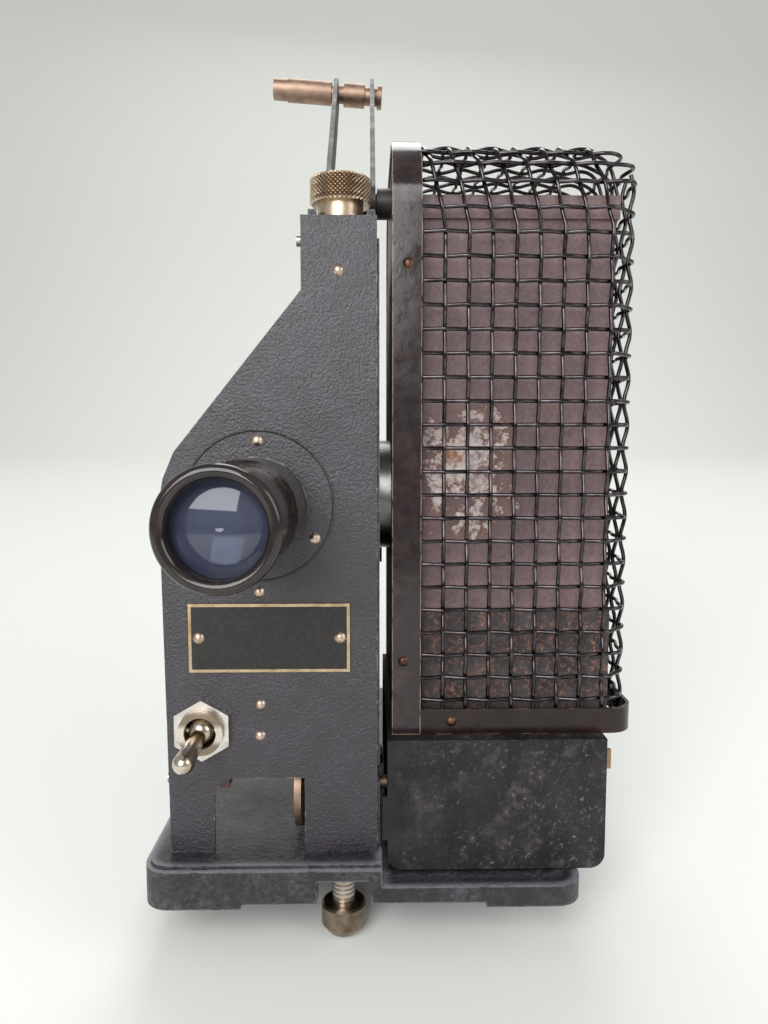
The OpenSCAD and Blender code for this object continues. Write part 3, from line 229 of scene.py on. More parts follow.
# Handled red brass: a pink metal that fingers have dulled, with brown dirt in 0.8 mm specks.
handled_brass = worn_metal("handled_pink_brass", colours=("8a7264", "b59a86"),
                           roughness=(0.42, 0.60), grain_mm=0.8, dirt="5a4638")
dress(handled_brass, "reel_spindle", "take_up_spindle", "motor_armature")

# Motor housing
# A box drawn from thin steel sheet, sprayed with matt black japan and screwed under the lamp
# house. Its right half is the more scuffed.
SCUFF_MM, SCUFFED_AREA_MM, VEIL_MM = 1.3, 14, 5
LEFT_END_M, RIGHT_END_M = -0.02, 0.10

# Matt japan, sprayed: a dull soft black under a cloudy grey veil, with pale scuffs in it. The
# spray's own grain is finer than the 0.8 mm that is drawn.
motor_japan, tree, shader, place = new_material("matt_japan_scuffed")
across = node(tree, "SeparateXYZ", {"Vector": place}).outputs["X"]
rightward = node(tree, "MapRange", {"Value": across, "From Min": LEFT_END_M,
                                    "From Max": RIGHT_END_M}).outputs["Result"]
areas = node(tree, "Math", {0: rightward,
                            1: patches(tree, place, SCUFFED_AREA_MM, (0, 1), detail=3)},
             operation="ADD").outputs[0]
paint = two_tone(tree, place, MOTTLE_MM, ("131113", "252224"), detail=6)
# The veil and then the scuffs: the clouds they are made from, where they lie, and their colour.
for size_mm, detail, roughness, spread, area_spread, colour in (
        (VEIL_MM, 10, 0.72, (0.53, 0.70), (0.55, 0.95), "4d4847"),
        (SCUFF_MM, 9, 0.78, (0.57, 0.66), (0.62, 1.0), "756e67")):
    marks = patches(tree, place, size_mm, spread, detail, roughness)
    where = node(tree, "MapRange", {"Value": areas, "From Min": area_spread[0],
                                    "From Max": area_spread[1]}).outputs["Result"]
    shown = node(tree, "Math", {0: marks, 1: where}, operation="MULTIPLY").outputs[0]
    paint = node(tree, "Mix", {SHARE: shown, UNDER: paint, OVER: colour},
                 data_type="RGBA").outputs[BLEND]
grain(tree, shader, place, 0.8, 0.04)
feed(tree, shader, {"Base Color": paint, "Roughness": 0.62, "IOR": 1.4})
dress(motor_japan, "motor_housing")

# Mouldings: the switch's body, the friction wheel and the power inlet.
# They are pressed in hot moulds from phenolic resin filled with wood flour. The wheel is fixed on
# the main shaft, and the others stand in holes cut for them.

# Moulded phenolic: a dark red-brown with a wet shine. Its flour is too fine to show, so the
# mottle is drawn 2 mm coarse.
phenolic, tree, shader, place = new_material("moulded_phenolic")
feed(tree, shader, {
    "Base Color": two_tone(tree, place, 2, ("2e1512", "47221c"), spread=(0.3, 0.7)),
    "Roughness": 0.32, "IOR": 1.6})
dress(phenolic, "switch_body", "friction_wheel", "power_inlet")

# Front panel and lens flange
# The panel is steel sheet, cut out and riveted to the castings behind it. The flange is a disc
# pressed from the same sheet and riveted on round the lens.
TILT = math.radians(5.6)  # the projector leans back on its rear pads and its elevating screw
REAR_CONTACT_Y = 153.5
ORIGIN_X, ORIGIN_Y = 5.65, 69.079
LEAN = Matrix.Rotation(-TILT, 4, "X")
# From millimetres on the level projector: X right, Y back from the panel, Z up from the pads.
LEVEL_TO_WORLD = (
    Matrix.Scale(0.001, 4)
    @ Matrix.Translation((-ORIGIN_X, REAR_CONTACT_Y - ORIGIN_Y, 0))
    @ LEAN
    @ Matrix.Translation((0, -REAR_CONTACT_Y, 0))
)
LENS_X, LENS_Z = -29.7, 105.4
FLANGE_R_MM, SEAM_MM, STEP_MM = 20, 0.4, 0.6
LEATHER_GRAIN = {"colours": ("242027", "3b353f"), "grain_mm": 0.7, "grain_depth_mm": 0.30,
                 "roughness": (0.30, 0.40), "wear": "a29a96", "wear_share": 0.08, "ior": 1.65}

# Leather-grained japan on sheet steel: a blue-black with a soft sheen, painted glints on the
# grain's crests 0.7 mm apart, and bare steel in nicks along the edges.
dress(japan("leather_grain_japan_on_sheet_steel", **LEATHER_GRAIN), "front_panel")

# The same japan on the flange, with the step of its pressed edge and, along it, a dark line that is
# painted shade in the seam.
flange_japan = japan("leather_grain_japan_with_pressed_edge", **LEATHER_GRAIN)
tree, shader = inside(flange_japan)
lens_place = LEVEL_TO_WORLD @ Vector((LENS_X, 0, LENS_Z))
lens_axis = (LEAN @ Vector((0, 1, 0))).normalized()
aside = node(tree, "VectorMath", {0: node(tree, "TexCoord").outputs["Object"], 1: lens_place},
             operation="SUBTRACT").outputs["Vector"]
square_on = node(tree, "VectorMath", {0: aside, 1: lens_axis},
                 operation="CROSS_PRODUCT").outputs["Vector"]
from_axis = node(tree, "VectorMath", {0: square_on}, operation="LENGTH").outputs["Value"]
rim = node(tree, "MapRange", {
    "Value": from_axis, "From Min": (FLANGE_R_MM - 2 * SEAM_MM) / 1000,
    "From Max": (FLANGE_R_MM - SEAM_MM) / 1000}).outputs["Result"]
painted = shader.inputs["Base Color"].links[0].from_socket
# Painted shade: a near-black line along the flange's edge.
seam_shade = node(tree, "Mix", {SHARE: rim, UNDER: painted, OVER: "0d0b0d"}, data_type="RGBA")
grained = shader.inputs["Normal"].links[0].from_socket
stepped = node(tree, "Bump", {"Height": rim, "Normal": grained, "Strength": 1,
                              "Distance": STEP_MM / 1000}, invert=True)
feed(tree, shader, {"Base Color": seam_shade.outputs[BLEND], "Normal": stepped.outputs["Normal"]})
dress(flange_japan, "lens_flange")

# Lens tubes: the mount tube in the flange, and the barrel that slides in it with its rim.
# They are turned from brass tube and japanned inside and outside.

# Gloss japan on turned tube: nearly smooth, so that it mirrors the room in long streaks, with
# brown where it is handled.
tube_japan = japan("gloss_japan_on_turned_tube", colours=("1a1413", "2f2421"), grain_mm=3,
                   grain_depth_mm=0.02, roughness=(0.08, 0.20), wear="6b5042", wear_share=0.10)
dress(tube_japan, "lens_mount_tube", "lens_barrel")

# Glass: the lenses, the condenser, the lamp's bulb, and the mirrors.
# The lenses are crown glass, ground, polished and held by rings. The bulb is blown. The mirrors
# are silvered and clipped to their brackets.
CROWN_GLASS_IOR, SMEAR_MM = 1.52, 6


def glass(name, tint, roughness, clear=1.0):
    """Glass with a faint smear in patches. Clear is the share of the light that passes."""
    material, tree, shader, place = new_material(name)
    feed(tree, shader, {
        "Base Color": tint, "Transmission Weight": clear, "IOR": CROWN_GLASS_IOR,
        "Roughness": patches(tree, place, SMEAR_MM, (0, 1), ends=(roughness / 2, roughness))})
    return material


# Ground lens glass: a bluish tint over the dark tube behind it, with sharp highlights. The blue is
# a painted reflection of a blue sky.
dress(glass("ground_lens_glass", tint="8f98ba", roughness=0.05, clear=0.86), "lens_elements")
# Blown lamp glass: clear, with a faint cool cast.
dress(glass("blown_lamp_glass", tint="eef2f4", roughness=0.03), "condenser_lenses", "lamp_bulb")
# Silvered glass: a bright mirror with a few dull specks.
mirror = worn_metal("silvered_glass", colours=("d0d4d8", "e6e9ec"), roughness=(0.04, 0.12),
                    grain_mm=3, dirt="9a9a98")
dress(mirror, "beam_mirror", "lamp_reflector")

# Toggle switch: the nut, the lever and the threaded bushing.
# They are turned from brass and nickelled. The nut holds the bushing in the panel, and the
# lever's ball rocks in the bushing.
THREAD_MM = 0.8055  # a fine thread of about 32 turns to the inch
WAVE_REPEAT = math.pi / 10  # a Wave texture at a scale of 1 repeats at this length
THREAD_DEPTH_MM = 0.12

# Worn nickel plate: a warm white metal with a bright shine, and spots of dirt 1.6 mm wide.
nickel = worn_metal("worn_nickel_plate", colours=("bcb4ae", "e4deda"), roughness=(0.14, 0.34),
                    grain_mm=1.6)
dress(nickel, "switch_nut")
# Nickel that fingers have worn through: bright, with yellow brass in broad areas.
worn_through = worn_metal("nickel_worn_to_brass", colours=("b3a286", "dcd6cd"),
                          roughness=(0.12, 0.28), grain_mm=2.5)
dress(worn_through, "switch_lever")
# Nickelled brass, cut with a thread: fine rings of pale crests and brown roots in step with the
# thread's relief, a painted highlight on the crests and painted shade in the roots.
threaded, tree, shader, place = new_material("threaded_nickelled_brass")
turns = node(tree, "TexWave", {"Vector": place, "Scale": WAVE_REPEAT * 1000 / THREAD_MM},
             bands_direction="Y").outputs["Fac"]
lit_crests = node(tree, "MapRange", {"Value": turns, "From Min": 0.2, "From Max": 0.7})
# Painted highlight and shade on the thread's rings.
lit_and_shaded_rings = node(tree, "Mix", {SHARE: lit_crests.outputs["Result"], UNDER: "8a7d6e", OVER: "d8d0c4"},
              data_type="RGBA")
cut = node(tree, "Bump", {"Height": turns, "Strength": 1, "Distance": THREAD_DEPTH_MM / 1000})
feed(tree, shader, {"Base Color": lit_and_shaded_rings.outputs[BLEND], "Metallic": 1, "Roughness": 0.34,
                    "Normal": cut.outputs["Normal"]})
dress(threaded, "switch_bushing")

# Rivets of the panel and screws of the name plate
# Round-headed rivets of steel, copper-plated and hammered over behind the panel, and two screws
# with heads of the same finish.

# Coppered heads: pale pink metal with a satin shine, dark in spots.
rivet_metal = worn_metal("coppered_rivet_heads", colours=("a8917f", "d6c2b2"),
                         roughness=(0.25, 0.45))
dress(rivet_metal, "panel_rivets", "plate_screws")

# Name plate
# A thin brass plate, etched to leave a raised border and filled with black enamel inside it. It
# is left bare of words, and two screws hold it to the panel.
PLATE_HALF_WIDE, PLATE_HALF_HIGH, BORDER_MM = 21.2, 9.15, 0.75
BORDER_EDGE_MM, ENAMEL_DEPTH_MM = 0.1, 0.12

# Etched brass and black enamel: a matt black field, a little brown in spots, inside thin lines
# of pale brass that shine.
plate_low, plate_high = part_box("name_plate")
plate_centre = (Vector(plate_low) + Vector(plate_high)) / 2
plate_paint, tree, shader, place = new_material("etched_brass_black_enamel")
from_centre = node(tree, "VectorMath", {0: place, 1: plate_centre},
                   operation="SUBTRACT").outputs["Vector"]
upright = node(tree, "VectorRotate", {"Vector": from_centre, "Angle": TILT},
               rotation_type="X_AXIS").outputs["Vector"]
out = node(tree, "VectorMath", {0: upright}, operation="ABSOLUTE").outputs["Vector"]
axes = node(tree, "SeparateXYZ", {"Vector": out})
within = []
for axis, half_mm in (("X", PLATE_HALF_WIDE), ("Z", PLATE_HALF_HIGH)):
    edge_mm = half_mm - BORDER_MM
    within.append(node(tree, "MapRange", {
        "Value": axes.outputs[axis], "From Min": edge_mm / 1000,
        "From Max": (edge_mm - BORDER_EDGE_MM) / 1000}).outputs["Result"])
field = node(tree, "Math", {0: within[0], 1: within[1]}, operation="MULTIPLY").outputs[0]
bare = node(tree, "Math", {0: 1, 1: field}, operation="SUBTRACT").outputs[0]
border = two_tone(tree, place, 3, ("a58d6c", "cdb898"), spread=(0.3, 0.7))
enamel = two_tone(tree, place, 1.2, ("151313", "2e2925"), spread=(0.45, 0.8), detail=6)
filled = node(tree, "Mix", {SHARE: field, UNDER: border, OVER: enamel}, data_type="RGBA")
etched = node(tree, "Bump", {"Height": bare, "Strength": 1, "Distance": ENAMEL_DEPTH_MM / 1000})
feed(tree, shader, {"Base Color": filled.outputs[BLEND], "Metallic": bare, "Roughness": 0.4,
                    "Normal": etched.outputs["Normal"]})
dress(plate_paint, "name_plate")

# Lamp house: the tall chimney with its cap and its side plate.
# It is folded from steel sheet and riveted, and japanned black. The lamp's heat has turned the
# japan brown, and in one place it has flaked to the metal.
PATCH_X, PATCH_Y, PATCH_Z = 26, 10, 115
PATCH_TALLER, PATCH_OUT_M, PATCH_IN_M, RAGGED_M, PATCH_STRENGTH = 1.3, 0.042, 0.016, 0.03, 0.42
SPECKLE_MM, CLOUD_MM, RAGGED_MM, FLAKE_MM, METAL_MM, RUST_MM = 0.9, 11, 13, 3.6, 1.6, 6
FLAKE_DEPTH_MM = 0.08

# Heat-browned japan: a dull rose-brown, clouded and speckled, with ragged flakes that bare
# silvery steel with orange rust in it.
house_japan, tree, shader, place = new_material("heat_browned_japan")
speckle = two_tone(tree, place, SPECKLE_MM, ("554345", "866f73"), roughness=0.7)
clouded = two_tone(tree, place, CLOUD_MM, ("594749", "7e6664"), detail=5)
brown = node(tree, "Mix", {SHARE: 0.5, UNDER: speckle, OVER: clouded},
             data_type="RGBA").outputs[BLEND]
patch_centre = LEVEL_TO_WORLD @ Vector((PATCH_X, PATCH_Y, PATCH_Z))
from_patch = node(tree, "VectorMath", {0: place, 1: patch_centre}, operation="SUBTRACT")
squeezed = node(tree, "VectorMath", {0: from_patch.outputs["Vector"],
                                     1: (1, 1, 1 / PATCH_TALLER)}, operation="MULTIPLY")
distance = node(tree, "VectorMath", {0: squeezed.outputs["Vector"]}, operation="LENGTH")
ragged = patches(tree, place, RAGGED_MM, (0, 1), detail=3, ends=(0, RAGGED_M))
reach = node(tree, "Math", {0: distance.outputs["Value"], 1: ragged}, operation="ADD").outputs[0]
near = node(tree, "MapRange", {"Value": reach, "From Min": PATCH_OUT_M, "From Max": PATCH_IN_M,
                               "To Max": PATCH_STRENGTH}).outputs["Result"]
crazed = patches(tree, place, FLAKE_MM, (0, 1), detail=12, roughness=0.78)
flaking = node(tree, "Math", {0: near, 1: crazed}, operation="ADD").outputs[0]
flaked = node(tree, "MapRange", {"Value": flaking, "From Min": 0.765, "From Max": 0.80})
stained = node(tree, "MapRange", {"Value": flaking, "From Min": 0.70, "From Max": 0.78})
metal = two_tone(tree, place, METAL_MM, ("8b6c60", "b3a5a4"), (0.38, 0.48), 8, 0.7)
metal = two_tone(tree, place, METAL_MM, (metal, "cfc4bc"), (0.48, 0.66), 8, 0.7)
metal = two_tone(tree, place, RUST_MM, (metal, "9a6242"), (0.56, 0.62), 8, 0.7)
rimmed = node(tree, "Mix", {SHARE: stained.outputs["Result"], UNDER: brown, OVER: "6a4438"},
              data_type="RGBA").outputs[BLEND]
bared = node(tree, "Mix", {SHARE: flaked.outputs["Result"], UNDER: rimmed, OVER: metal},
             data_type="RGBA")
lifted = node(tree, "Bump", {"Height": flaking, "Strength": 1, "Distance": FLAKE_DEPTH_MM / 1000})
feed(tree, shader, {"Base Color": bared.outputs[BLEND], "Roughness": 0.55,
                    "Normal": lifted.outputs["Normal"]})
dress(house_japan, "lamp_house", "lamp_house_cap", "lamp_side_plate")

# Lamp house skirt
# A collar of steel sheet round the foot of the lamp house, riveted to it. Its japan is burnt, and
# rust has come through.
SPOT_MM, SPOT_DEPTH_MM = 1.5, 0.05

# Burnt japan with rust: a dead grey-black with crusty orange-brown spots, 1.5 mm wide.
burnt, tree, shader, place = new_material("rust_spotted_japan")
spots = patches(tree, place, SPOT_MM, (0.51, 0.64), detail=9, roughness=0.8)
dark = two_tone(tree, place, 8, ("322d2f", "4b4546"))
spotted = node(tree, "Mix", {SHARE: spots, UNDER: dark, OVER: "9c7260"}, data_type="RGBA")
crusty = node(tree, "Bump", {"Height": spots, "Strength": 1, "Distance": SPOT_DEPTH_MM / 1000})
feed(tree, shader, {"Base Color": spotted.outputs[BLEND], "Roughness": 0.7,
                    "Normal": crusty.outputs["Normal"]})
dress(burnt, "lamp_house_skirt")

# Guard bands: the arched band down the left side and the low band round the foot of the guard.
# They are steel strip, bent and riveted, and hold the ends of the woven wires.

# Gloss japan on strip: smooth black that mirrors the room, worn to cream along its edges.
side_japan = japan("gloss_japan_on_steel_strip", colours=("1f1617", "3a2a2b"), grain_mm=3,
                   grain_depth_mm=0.03, roughness=(0.08, 0.22), wear="b39c80", wear_share=0.22,
                   ior=1.5)
dress(side_japan, "guard_side_band")
# The same gloss, browner and duller with heat, worn to brown.
low_japan = japan("brown_gloss_japan_on_steel_strip", colours=("1a100f", "2b1a16"), grain_mm=4,
                  grain_depth_mm=0.05, roughness=(0.14, 0.30), wear="8a6a52", wear_share=0.10,
                  ior=1.42)
dress(low_japan, "guard_bottom_band")

# Rivets of the guard bands
# Steel rivets with round heads, hammered over and browned by rust and heat.

# Browned steel: dark copper-coloured heads with a low shine.
browned = worn_metal("browned_rivet_heads", colours=("463229", "7c5c4b"), roughness=(0.3, 0.5))
dress(browned, "guard_rivets")

# Woven wire guard
# Round steel wire, crimped, woven four to the inch and bent over the lamp house. The upright
# wires were pulled to the left where they bend over the arch.
GUARD_LEFT, GUARD_RIGHT = 5.3, 72
GUARD_FRONT, GUARD_BACK = 3.4, 81.4
GUARD_LOW, GUARD_TOP = 42.6, 204.5
TOP_R, ROW_CORNER_R, ARC_CORNER_R, SIDE_BEND_R = 21, 8.4, 5, 9
PITCH, WIRE_R, WAVE = 6.25, 0.55, 0.57
BAND_T = 0.9
MID = BAND_T + 2 * WIRE_R  # the middle of the weave, in from the guard's outside
WIRE_FOOT_UP, ROW_START_IN, FIRST_ROW_UP, FIRST_CROSS_IN = 1, 3, 9, 1.1
FIRST_HOOP_X, HOOPS = 12.9, 9
FIRST_ROW_Z, ROWS, ARC_ROWS = GUARD_LOW + FIRST_ROW_UP, 22, 3
FIRST_CROSS_Y, CROSS_WIRES, SIDE_WIRES = GUARD_FRONT + TOP_R + FIRST_CROSS_IN, 6, 2
LEAN_FROM_Z, LEAN_MM = 178, 5.2
POINT_EVERY_MM = 0.7
X, Y, Z = 0, 1, 2
front, back = GUARD_FRONT + MID, GUARD_BACK - MID
top, side = GUARD_TOP - MID, GUARD_RIGHT - MID
low = GUARD_LOW + WIRE_FOOT_UP
row_start = GUARD_LEFT + ROW_START_IN
arch_r, arch_z = TOP_R - MID, GUARD_TOP - TOP_R
bend_x, bend_z = side - SIDE_BEND_R, top - SIDE_BEND_R

# Oxidised steel wire, drawn: a dark grey metal whose smooth round back catches a thin highlight.
wire_metal = worn_metal("oxidised_woven_wire", colours=("2e2a2c", "5b5558"),
                        roughness=(0.08, 0.19), grain_mm=1.6, dirt="1c1919")


def bent_line(corners, radii):
    """Straight runs and arcs as lists of points, each arc with its centre."""
    runs, start = [], corners[0]
    for i in range(1, len(corners) - 1):
        before = (corners[i - 1] - corners[i]).normalized() * radii[i - 1]
        after = (corners[i + 1] - corners[i]).normalized() * radii[i - 1]
        enter, leave = corners[i] + before, corners[i] + after
        centre = enter + after
        count = max(2, int((enter - start).length / POINT_EVERY_MM))
        runs.append((None, [start.lerp(enter, k / count) for k in range(count)]))
        count = max(4, int(radii[i - 1] * math.pi / 2 / POINT_EVERY_MM))
        turns = [k / count * math.pi / 2 for k in range(count)]
        runs.append((centre,
                     [centre - after * math.cos(t) - before * math.sin(t) for t in turns]))
        start = leave
    count = max(2, int((corners[-1] - start).length / POINT_EVERY_MM))
    runs.append((None, [start.lerp(corners[-1], k / count) for k in range(count + 1)]))
    return runs


def crimped(corners, radii, outward, origins, sign):
    """One wire, pushed out and in by turns where it crosses the others.

    Each straight run has an axis and the place on it of a wire that it crosses. The waves of
    two runs are joined along the arc between them.
    """
    runs = bent_line([Vector(c) for c in corners], radii)
    straight, waves, reached = 0, [], None
    for centre, points in runs:
        if centre is not None:
            waves.append(None)
            reached += radii[straight - 1] * math.pi / 2 / PITCH
            continue
        axis, origin = origins[straight]
        way = 1 if points[-1][axis] > points[0][axis] else -1
        wave = [way * (point[axis] - origin) / PITCH for point in points]
        whole = 0 if reached is None else 2 * round((reached - wave[0]) / 2)
        waves.append([w + whole for w in wave])
        reached = waves[-1][-1]
        straight += 1
    made, facing = [], Vector(outward)
    for index, (centre, points) in enumerate(runs):
        for k, point in enumerate(points):
            if centre is None:
                wave = waves[index][k]
            else:
                facing = (point - centre).normalized()
                before, after = waves[index - 1][-1], waves[index + 1][0]
                wave = before + (after - before) * (k + 1) / (len(points) + 1)
            made.append(point + facing * sign * WAVE * math.cos(math.pi * wave))
    return made


def lean(z):
    """How far the upright wires have moved to the left at a height."""
    share = min(1, max(0, (z - LEAN_FROM_Z) / (top - LEAN_FROM_Z)))
    return LEAN_MM * share


def wrapped_row(y_in, z, right_x, corner_r, index):
    """A row along the front, round the right side and back along the rear."""
    y_low, y_high = GUARD_FRONT + y_in, GUARD_BACK - y_in
    corners = [(row_start, y_low, z), (right_x, y_low, z), (right_x, y_high, z),
               (row_start, y_high, z)]
    hoop_at = (X, FIRST_HOOP_X - lean(z))
    return crimped(corners, [corner_r, corner_r], (0, -1, 0),
                   [hoop_at, (Y, FIRST_CROSS_Y), hoop_at], -((-1) ** index))


def wires(name, lines):
    """One piece of round wires along several lines."""
    curve = bpy.data.curves.new(name, "CURVE")
    curve.dimensions = "3D"
    curve.bevel_depth = WIRE_R / 1000
    curve.bevel_resolution = 2
    curve.use_fill_caps = True
    for line in lines:
        spline = curve.splines.new("POLY")
        spline.points.add(len(line) - 1)
        for point, place in zip(spline.points, line):
            point.co = (*(LEVEL_TO_WORLD @ place), 1)
    made = bpy.data.objects.new(name, curve)
    curve.materials.append(wire_metal)
    bpy.context.collection.objects.link(made)
    return made


# The uprights, each one hoop up the front, over the arch and down the rear.
hoop_lines = []
for i in range(HOOPS):
    x = FIRST_HOOP_X + i * PITCH
    corners = [(x, front, low), (x, front, top), (x, back, top), (x, back, low)]
    line = crimped(corners, [arch_r, arch_r], (0, -1, 0),
                   [(Z, FIRST_ROW_Z), (Y, FIRST_CROSS_Y), (Z, FIRST_ROW_Z)], (-1) ** i)
    hoop_lines.append([Vector((p.x - lean(p.z), p.y, p.z)) for p in line])
woven_hoops = wires("woven_hoops", hoop_lines)
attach(woven_hoops, "projector")
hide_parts("guard_hoops")

# The rows up the straight part, and those on the start of the arch, which wrap round the side.
row_lines = [wrapped_row(MID, FIRST_ROW_Z + k * PITCH, side, ROW_CORNER_R, k)
             for k in range(ROWS)]
for n in range(1, ARC_ROWS + 1):
    angle = n * PITCH / arch_r
    z = arch_z + arch_r * math.sin(angle)
    right_x = bend_x + math.sqrt(SIDE_BEND_R ** 2 - max(0, z - bend_z) ** 2)
    row_lines.append(wrapped_row(TOP_R - arch_r * math.cos(angle), z, right_x, ARC_CORNER_R,
                                 ROWS - 1 + n))
# One straight row on each side of the crest.
crest_angle = (ARC_ROWS + 1) * PITCH / arch_r
crest_in = TOP_R - arch_r * math.cos(crest_angle)
crest_z = arch_z + arch_r * math.sin(crest_angle)
for y in (GUARD_FRONT + crest_in, GUARD_BACK - crest_in):
    row_lines.append(crimped([(row_start, y, crest_z), (bend_x, y, crest_z)], [], (0, 0, 1),
                             [(X, FIRST_HOOP_X - lean(crest_z))], -((-1) ** (ROWS + ARC_ROWS))))
# Wires across the top that bend down the right side, and short ones beside them there.
for n in range(-SIDE_WIRES, CROSS_WIRES + SIDE_WIRES):
    y = FIRST_CROSS_Y + n * PITCH
    if 0 <= n < CROSS_WIRES:
        line = crimped([(row_start, y, top), (side, y, top), (side, y, low)], [SIDE_BEND_R],
                       (0, 0, 1), [(X, FIRST_HOOP_X - LEAN_MM), (Z, FIRST_ROW_Z + PITCH)],
                       -((-1) ** n))
    else:
        line = crimped([(side, y, low), (side, y, bend_z)], [], (1, 0, 0), [(Z, FIRST_ROW_Z)],
                       (-1) ** n)
    row_lines.append(line)
woven_rows = wires("woven_rows", row_lines)
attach(woven_rows, "projector")
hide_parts("guard_rails")

# Reel arm and its pivot
# Two leaves of strip steel with a turned pivot between them, japanned thinly. The arm folds
# down on the pivot.

# Thin japan on strip steel: a dull black with grey steel showing along its edges.
strip_japan = japan("thin_japan_on_strip_steel", colours=("1d1b1c", "353130"), grain_mm=2,
                    grain_depth_mm=0.03, roughness=(0.42, 0.60), wear="5c5550",
                    wear_share=0.06)
dress(strip_japan, "arm_pivot", "reel_arm")

# Knurled knob
# Turned brass on the upper end of the main shaft, with a diamond knurl rolled round its edge and
# a plain neck.
KNOB_X, KNOB_Y = -8.3, 14
KNOB_LOW, KNOB_HIGH, KNOB_R, RIM = 185.2, 192, 8.4, 0.6
NECK_LOW, NECK_R, SHAFT_R, CENTRE_R = 178.4, 6, 2.5, 0.01
KNURLS, KNURL_ROWS, KNURL_DEPTH = 42, 5, 0.6
AROUND, UP = KNURLS * 8, 72  # points round the knob and up it


def triangle(value):
    """0 at whole numbers and 1 halfway between them."""
    return abs(value - math.floor(value + 0.5)) * 2


rings = [(NECK_LOW, SHAFT_R, None), (NECK_LOW, NECK_R, None), (KNOB_LOW, NECK_R, None),
         (KNOB_LOW, KNOB_R - RIM, None)]
for k in range(UP + 1):
    share = k / UP
    rings.append((KNOB_LOW + RIM + share * (KNOB_HIGH - KNOB_LOW - 2 * RIM), KNOB_R, share))
rings += [(KNOB_HIGH, KNOB_R - RIM, None), (KNOB_HIGH, CENTRE_R, None)]
vertices, faces, cuts = [], [], []
for z, r, share in rings:
    for k in range(AROUND):
        cut = 0
        if share is not None:
            around, along = k / AROUND * KNURLS, share * KNURL_ROWS
            cut = max(triangle(around + along), triangle(around - along))
        cuts.append(cut)
        radius, angle = r - KNURL_DEPTH * cut, k / AROUND * 2 * math.pi
        vertices.append(LEVEL_TO_WORLD @ Vector((KNOB_X + radius * math.cos(angle),
                                                 KNOB_Y + radius * math.sin(angle), z)))
for ring in range(len(rings) - 1):
    for k in range(AROUND):
        a, b = ring * AROUND + k, ring * AROUND + (k + 1) % AROUND
        faces.append((a, b, b + AROUND, a + AROUND))
knob_mesh = bpy.data.meshes.new("knurled_knob")
knob_mesh.from_pydata(vertices, [], faces)
recess = knob_mesh.attributes.new("knurl_cut", "FLOAT", "POINT")
recess.data.foreach_set("value", cuts)

# Knurled brass: pale points that sparkle, with a dark brown painted in the cuts between them as
# painted shade.
knurled, tree, shader, place = new_material("knurled_brass")
cut_here = node(tree, "Attribute", attribute_name="knurl_cut").outputs["Fac"]
points = node(tree, "MapRange", {"Value": cut_here, "From Min": 0.95, "From Max": 0.35})
tone = two_tone(tree, place, 2, ("b8a188", "dccab3"), spread=(0.3, 0.7))
# Painted shade: the cuts of the knurl are coloured dark brown.
darkened = node(tree, "Mix", {SHARE: points.outputs["Result"], UNDER: "4f3f30", OVER: tone},
              data_type="RGBA")
feed(tree, shader, {"Base Color": darkened.outputs[BLEND], "Metallic": 1, "Roughness": 0.36})
knob_mesh.materials.append(knurled)
knob = bpy.data.objects.new("knurled_knob", knob_mesh)
bpy.context.collection.objects.link(knob)
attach(knob, "main_shaft")
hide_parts("drive_knob")

# Elevating screw and foot
# A steel screw through the front of the base, with a turned foot that is spun by hand to raise
# the lens. Both were nickelled.

# Worn nickel on a thread: warm grey crests with brown dirt in the roots, in 1.1 mm specks.
screw_nickel = worn_metal("worn_nickel_on_screw_thread", colours=("a4988c", "d0c6bb"),
                          roughness=(0.22, 0.40), grain_mm=1.1)
dress(screw_nickel, "elevating_screw")
# Browned nickel plate: a tarnished tan metal, with a shine that breaks up in 1.4 mm specks.
old_nickel = worn_metal("browned_nickel_plate", colours=("6c5c4f", "a1917f"),
                        roughness=(0.22, 0.42), grain_mm=1.4)
dress(old_nickel, "elevating_foot")

# Floor and backdrop
# One sheet of pale paper that lies under the projector and curves up behind it.
SWEEP_HALF_M, SWEEP_FRONT_M, SWEEP_BACK_M, SWEEP_TOP_M, SWEEP_R_M = 3, -3, 1.6, 4, 0.5
SWEEP_STEPS = 15
profile = [(SWEEP_FRONT_M, 0), (SWEEP_BACK_M - SWEEP_R_M, 0)]
for k in range(1, SWEEP_STEPS + 1):
    angle = k / SWEEP_STEPS * math.pi / 2
    profile.append((SWEEP_BACK_M - SWEEP_R_M + SWEEP_R_M * math.sin(angle),
                    SWEEP_R_M - SWEEP_R_M * math.cos(angle)))
profile.append((SWEEP_BACK_M, SWEEP_TOP_M))
# The elevating foot is the lowest point of the part, so the sheet lies at the part's low side.
floor_z = cad_low[2]
sweep_mesh = bpy.data.meshes.new("sweep")
sweep_mesh.from_pydata(
    [(x, y, z + floor_z) for y, z in profile for x in (-SWEEP_HALF_M, SWEEP_HALF_M)], [],
    [(2 * i, 2 * i + 1, 2 * i + 3, 2 * i + 2) for i in range(len(profile) - 1)])
for polygon in sweep_mesh.polygons:
    polygon.use_smooth = True

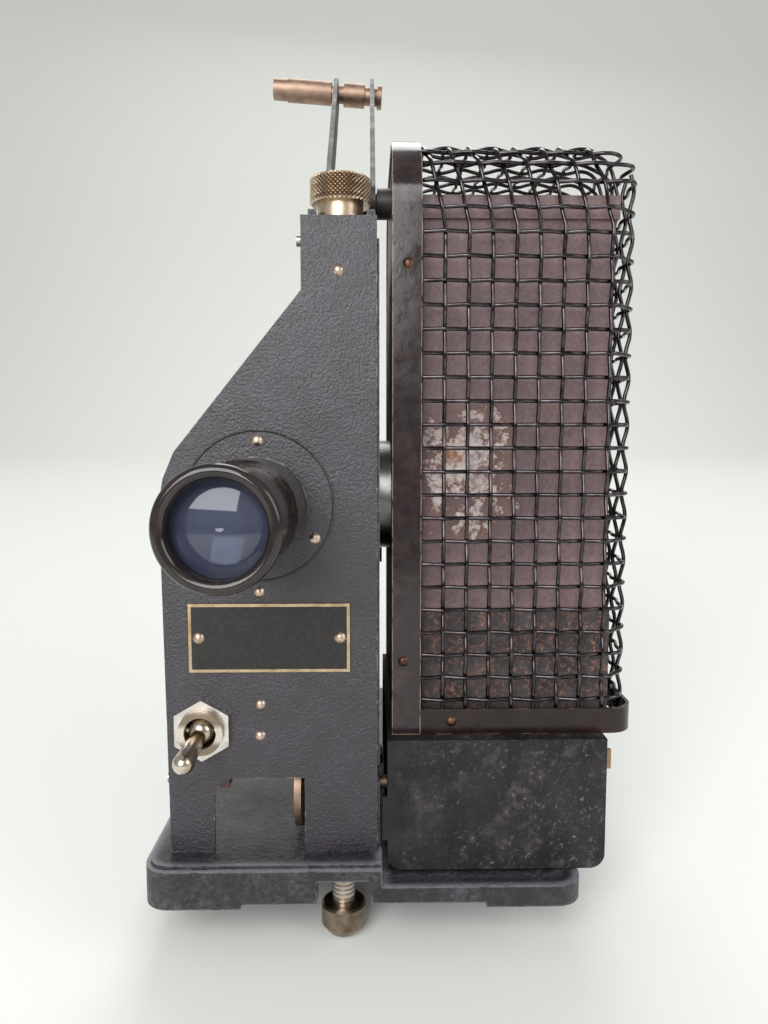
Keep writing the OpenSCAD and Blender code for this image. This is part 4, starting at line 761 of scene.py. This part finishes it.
# Pale paper: a flat, nearly white surface without shine that keeps a soft shadow.
sweep_paper, tree, shader, place = new_material("pale_paper")
feed(tree, shader, {"Base Color": "e4e6e2", "Roughness": 0.9})
sweep_mesh.materials.append(sweep_paper)
sweep = bpy.data.objects.new("sweep", sweep_mesh)
bpy.context.collection.objects.link(sweep)

# Camera
# It stands a little above the lens, 200 mm in front of the panel, and looks slightly down and to
# the right. Its focal length and its turns are in pixels of a picture 1024 pixels high.
LONG_SIDE_PX, FOCAL_PX, DOWN_PX, RIGHT_PX = 1024, 770, 70, 14
SENSOR_MM = 36
CAMERA_PLACE = Vector((-0.6, -200, 122))
camera_data = bpy.data.cameras.new("camera")
camera_data.lens = FOCAL_PX * SENSOR_MM / LONG_SIDE_PX
camera_data.sensor_width = SENSOR_MM
camera_data.clip_start = 0.01
camera = bpy.data.objects.new("camera", camera_data)
pitch, yaw = math.atan(DOWN_PX / FOCAL_PX), math.atan(RIGHT_PX / FOCAL_PX)
camera_turn = Euler((math.pi / 2 - pitch, 0, -yaw)).to_matrix().to_4x4()
camera.matrix_world = Matrix.Translation(LEVEL_TO_WORLD @ CAMERA_PLACE) @ LEAN @ camera_turn
bpy.context.collection.objects.link(camera)
bpy.context.scene.camera = camera

# Light
# Open shade: a large soft source in front, weaker ones from the right and from behind above,
# and an even pale light all round.
scene = bpy.context.scene
scene.view_settings.view_transform = "Standard"
scene.world = bpy.data.worlds.new("shade")
scene.world.use_nodes = True
background = scene.world.node_tree.nodes["Background"]
feed(scene.world.node_tree, background, {"Color": "f3f3f1", "Strength": 0.46})
# Each lamp's name, place and aim in metres, watts, and size in metres.
for name, place, aim, watts, size_m in (
        ("key", (-0.35, -1.1, 0.80), (0, 0, 0.12), 16, 0.9),
        ("right", (1.0, -0.5, 0.6), (0, 0, 0.12), 4, 0.7),
        ("behind", (0.1, 0.95, 1.35), (0, 0, 0.1), 12, 0.9)):
    lamp = bpy.data.lights.new(name, "AREA")
    lamp.energy = watts
    lamp.size = size_m
    holder = bpy.data.objects.new(name, lamp)
    holder.location = place
    holder.rotation_euler = (Vector(aim) - Vector(place)).to_track_quat("-Z", "Y").to_euler()
    bpy.context.collection.objects.link(holder)
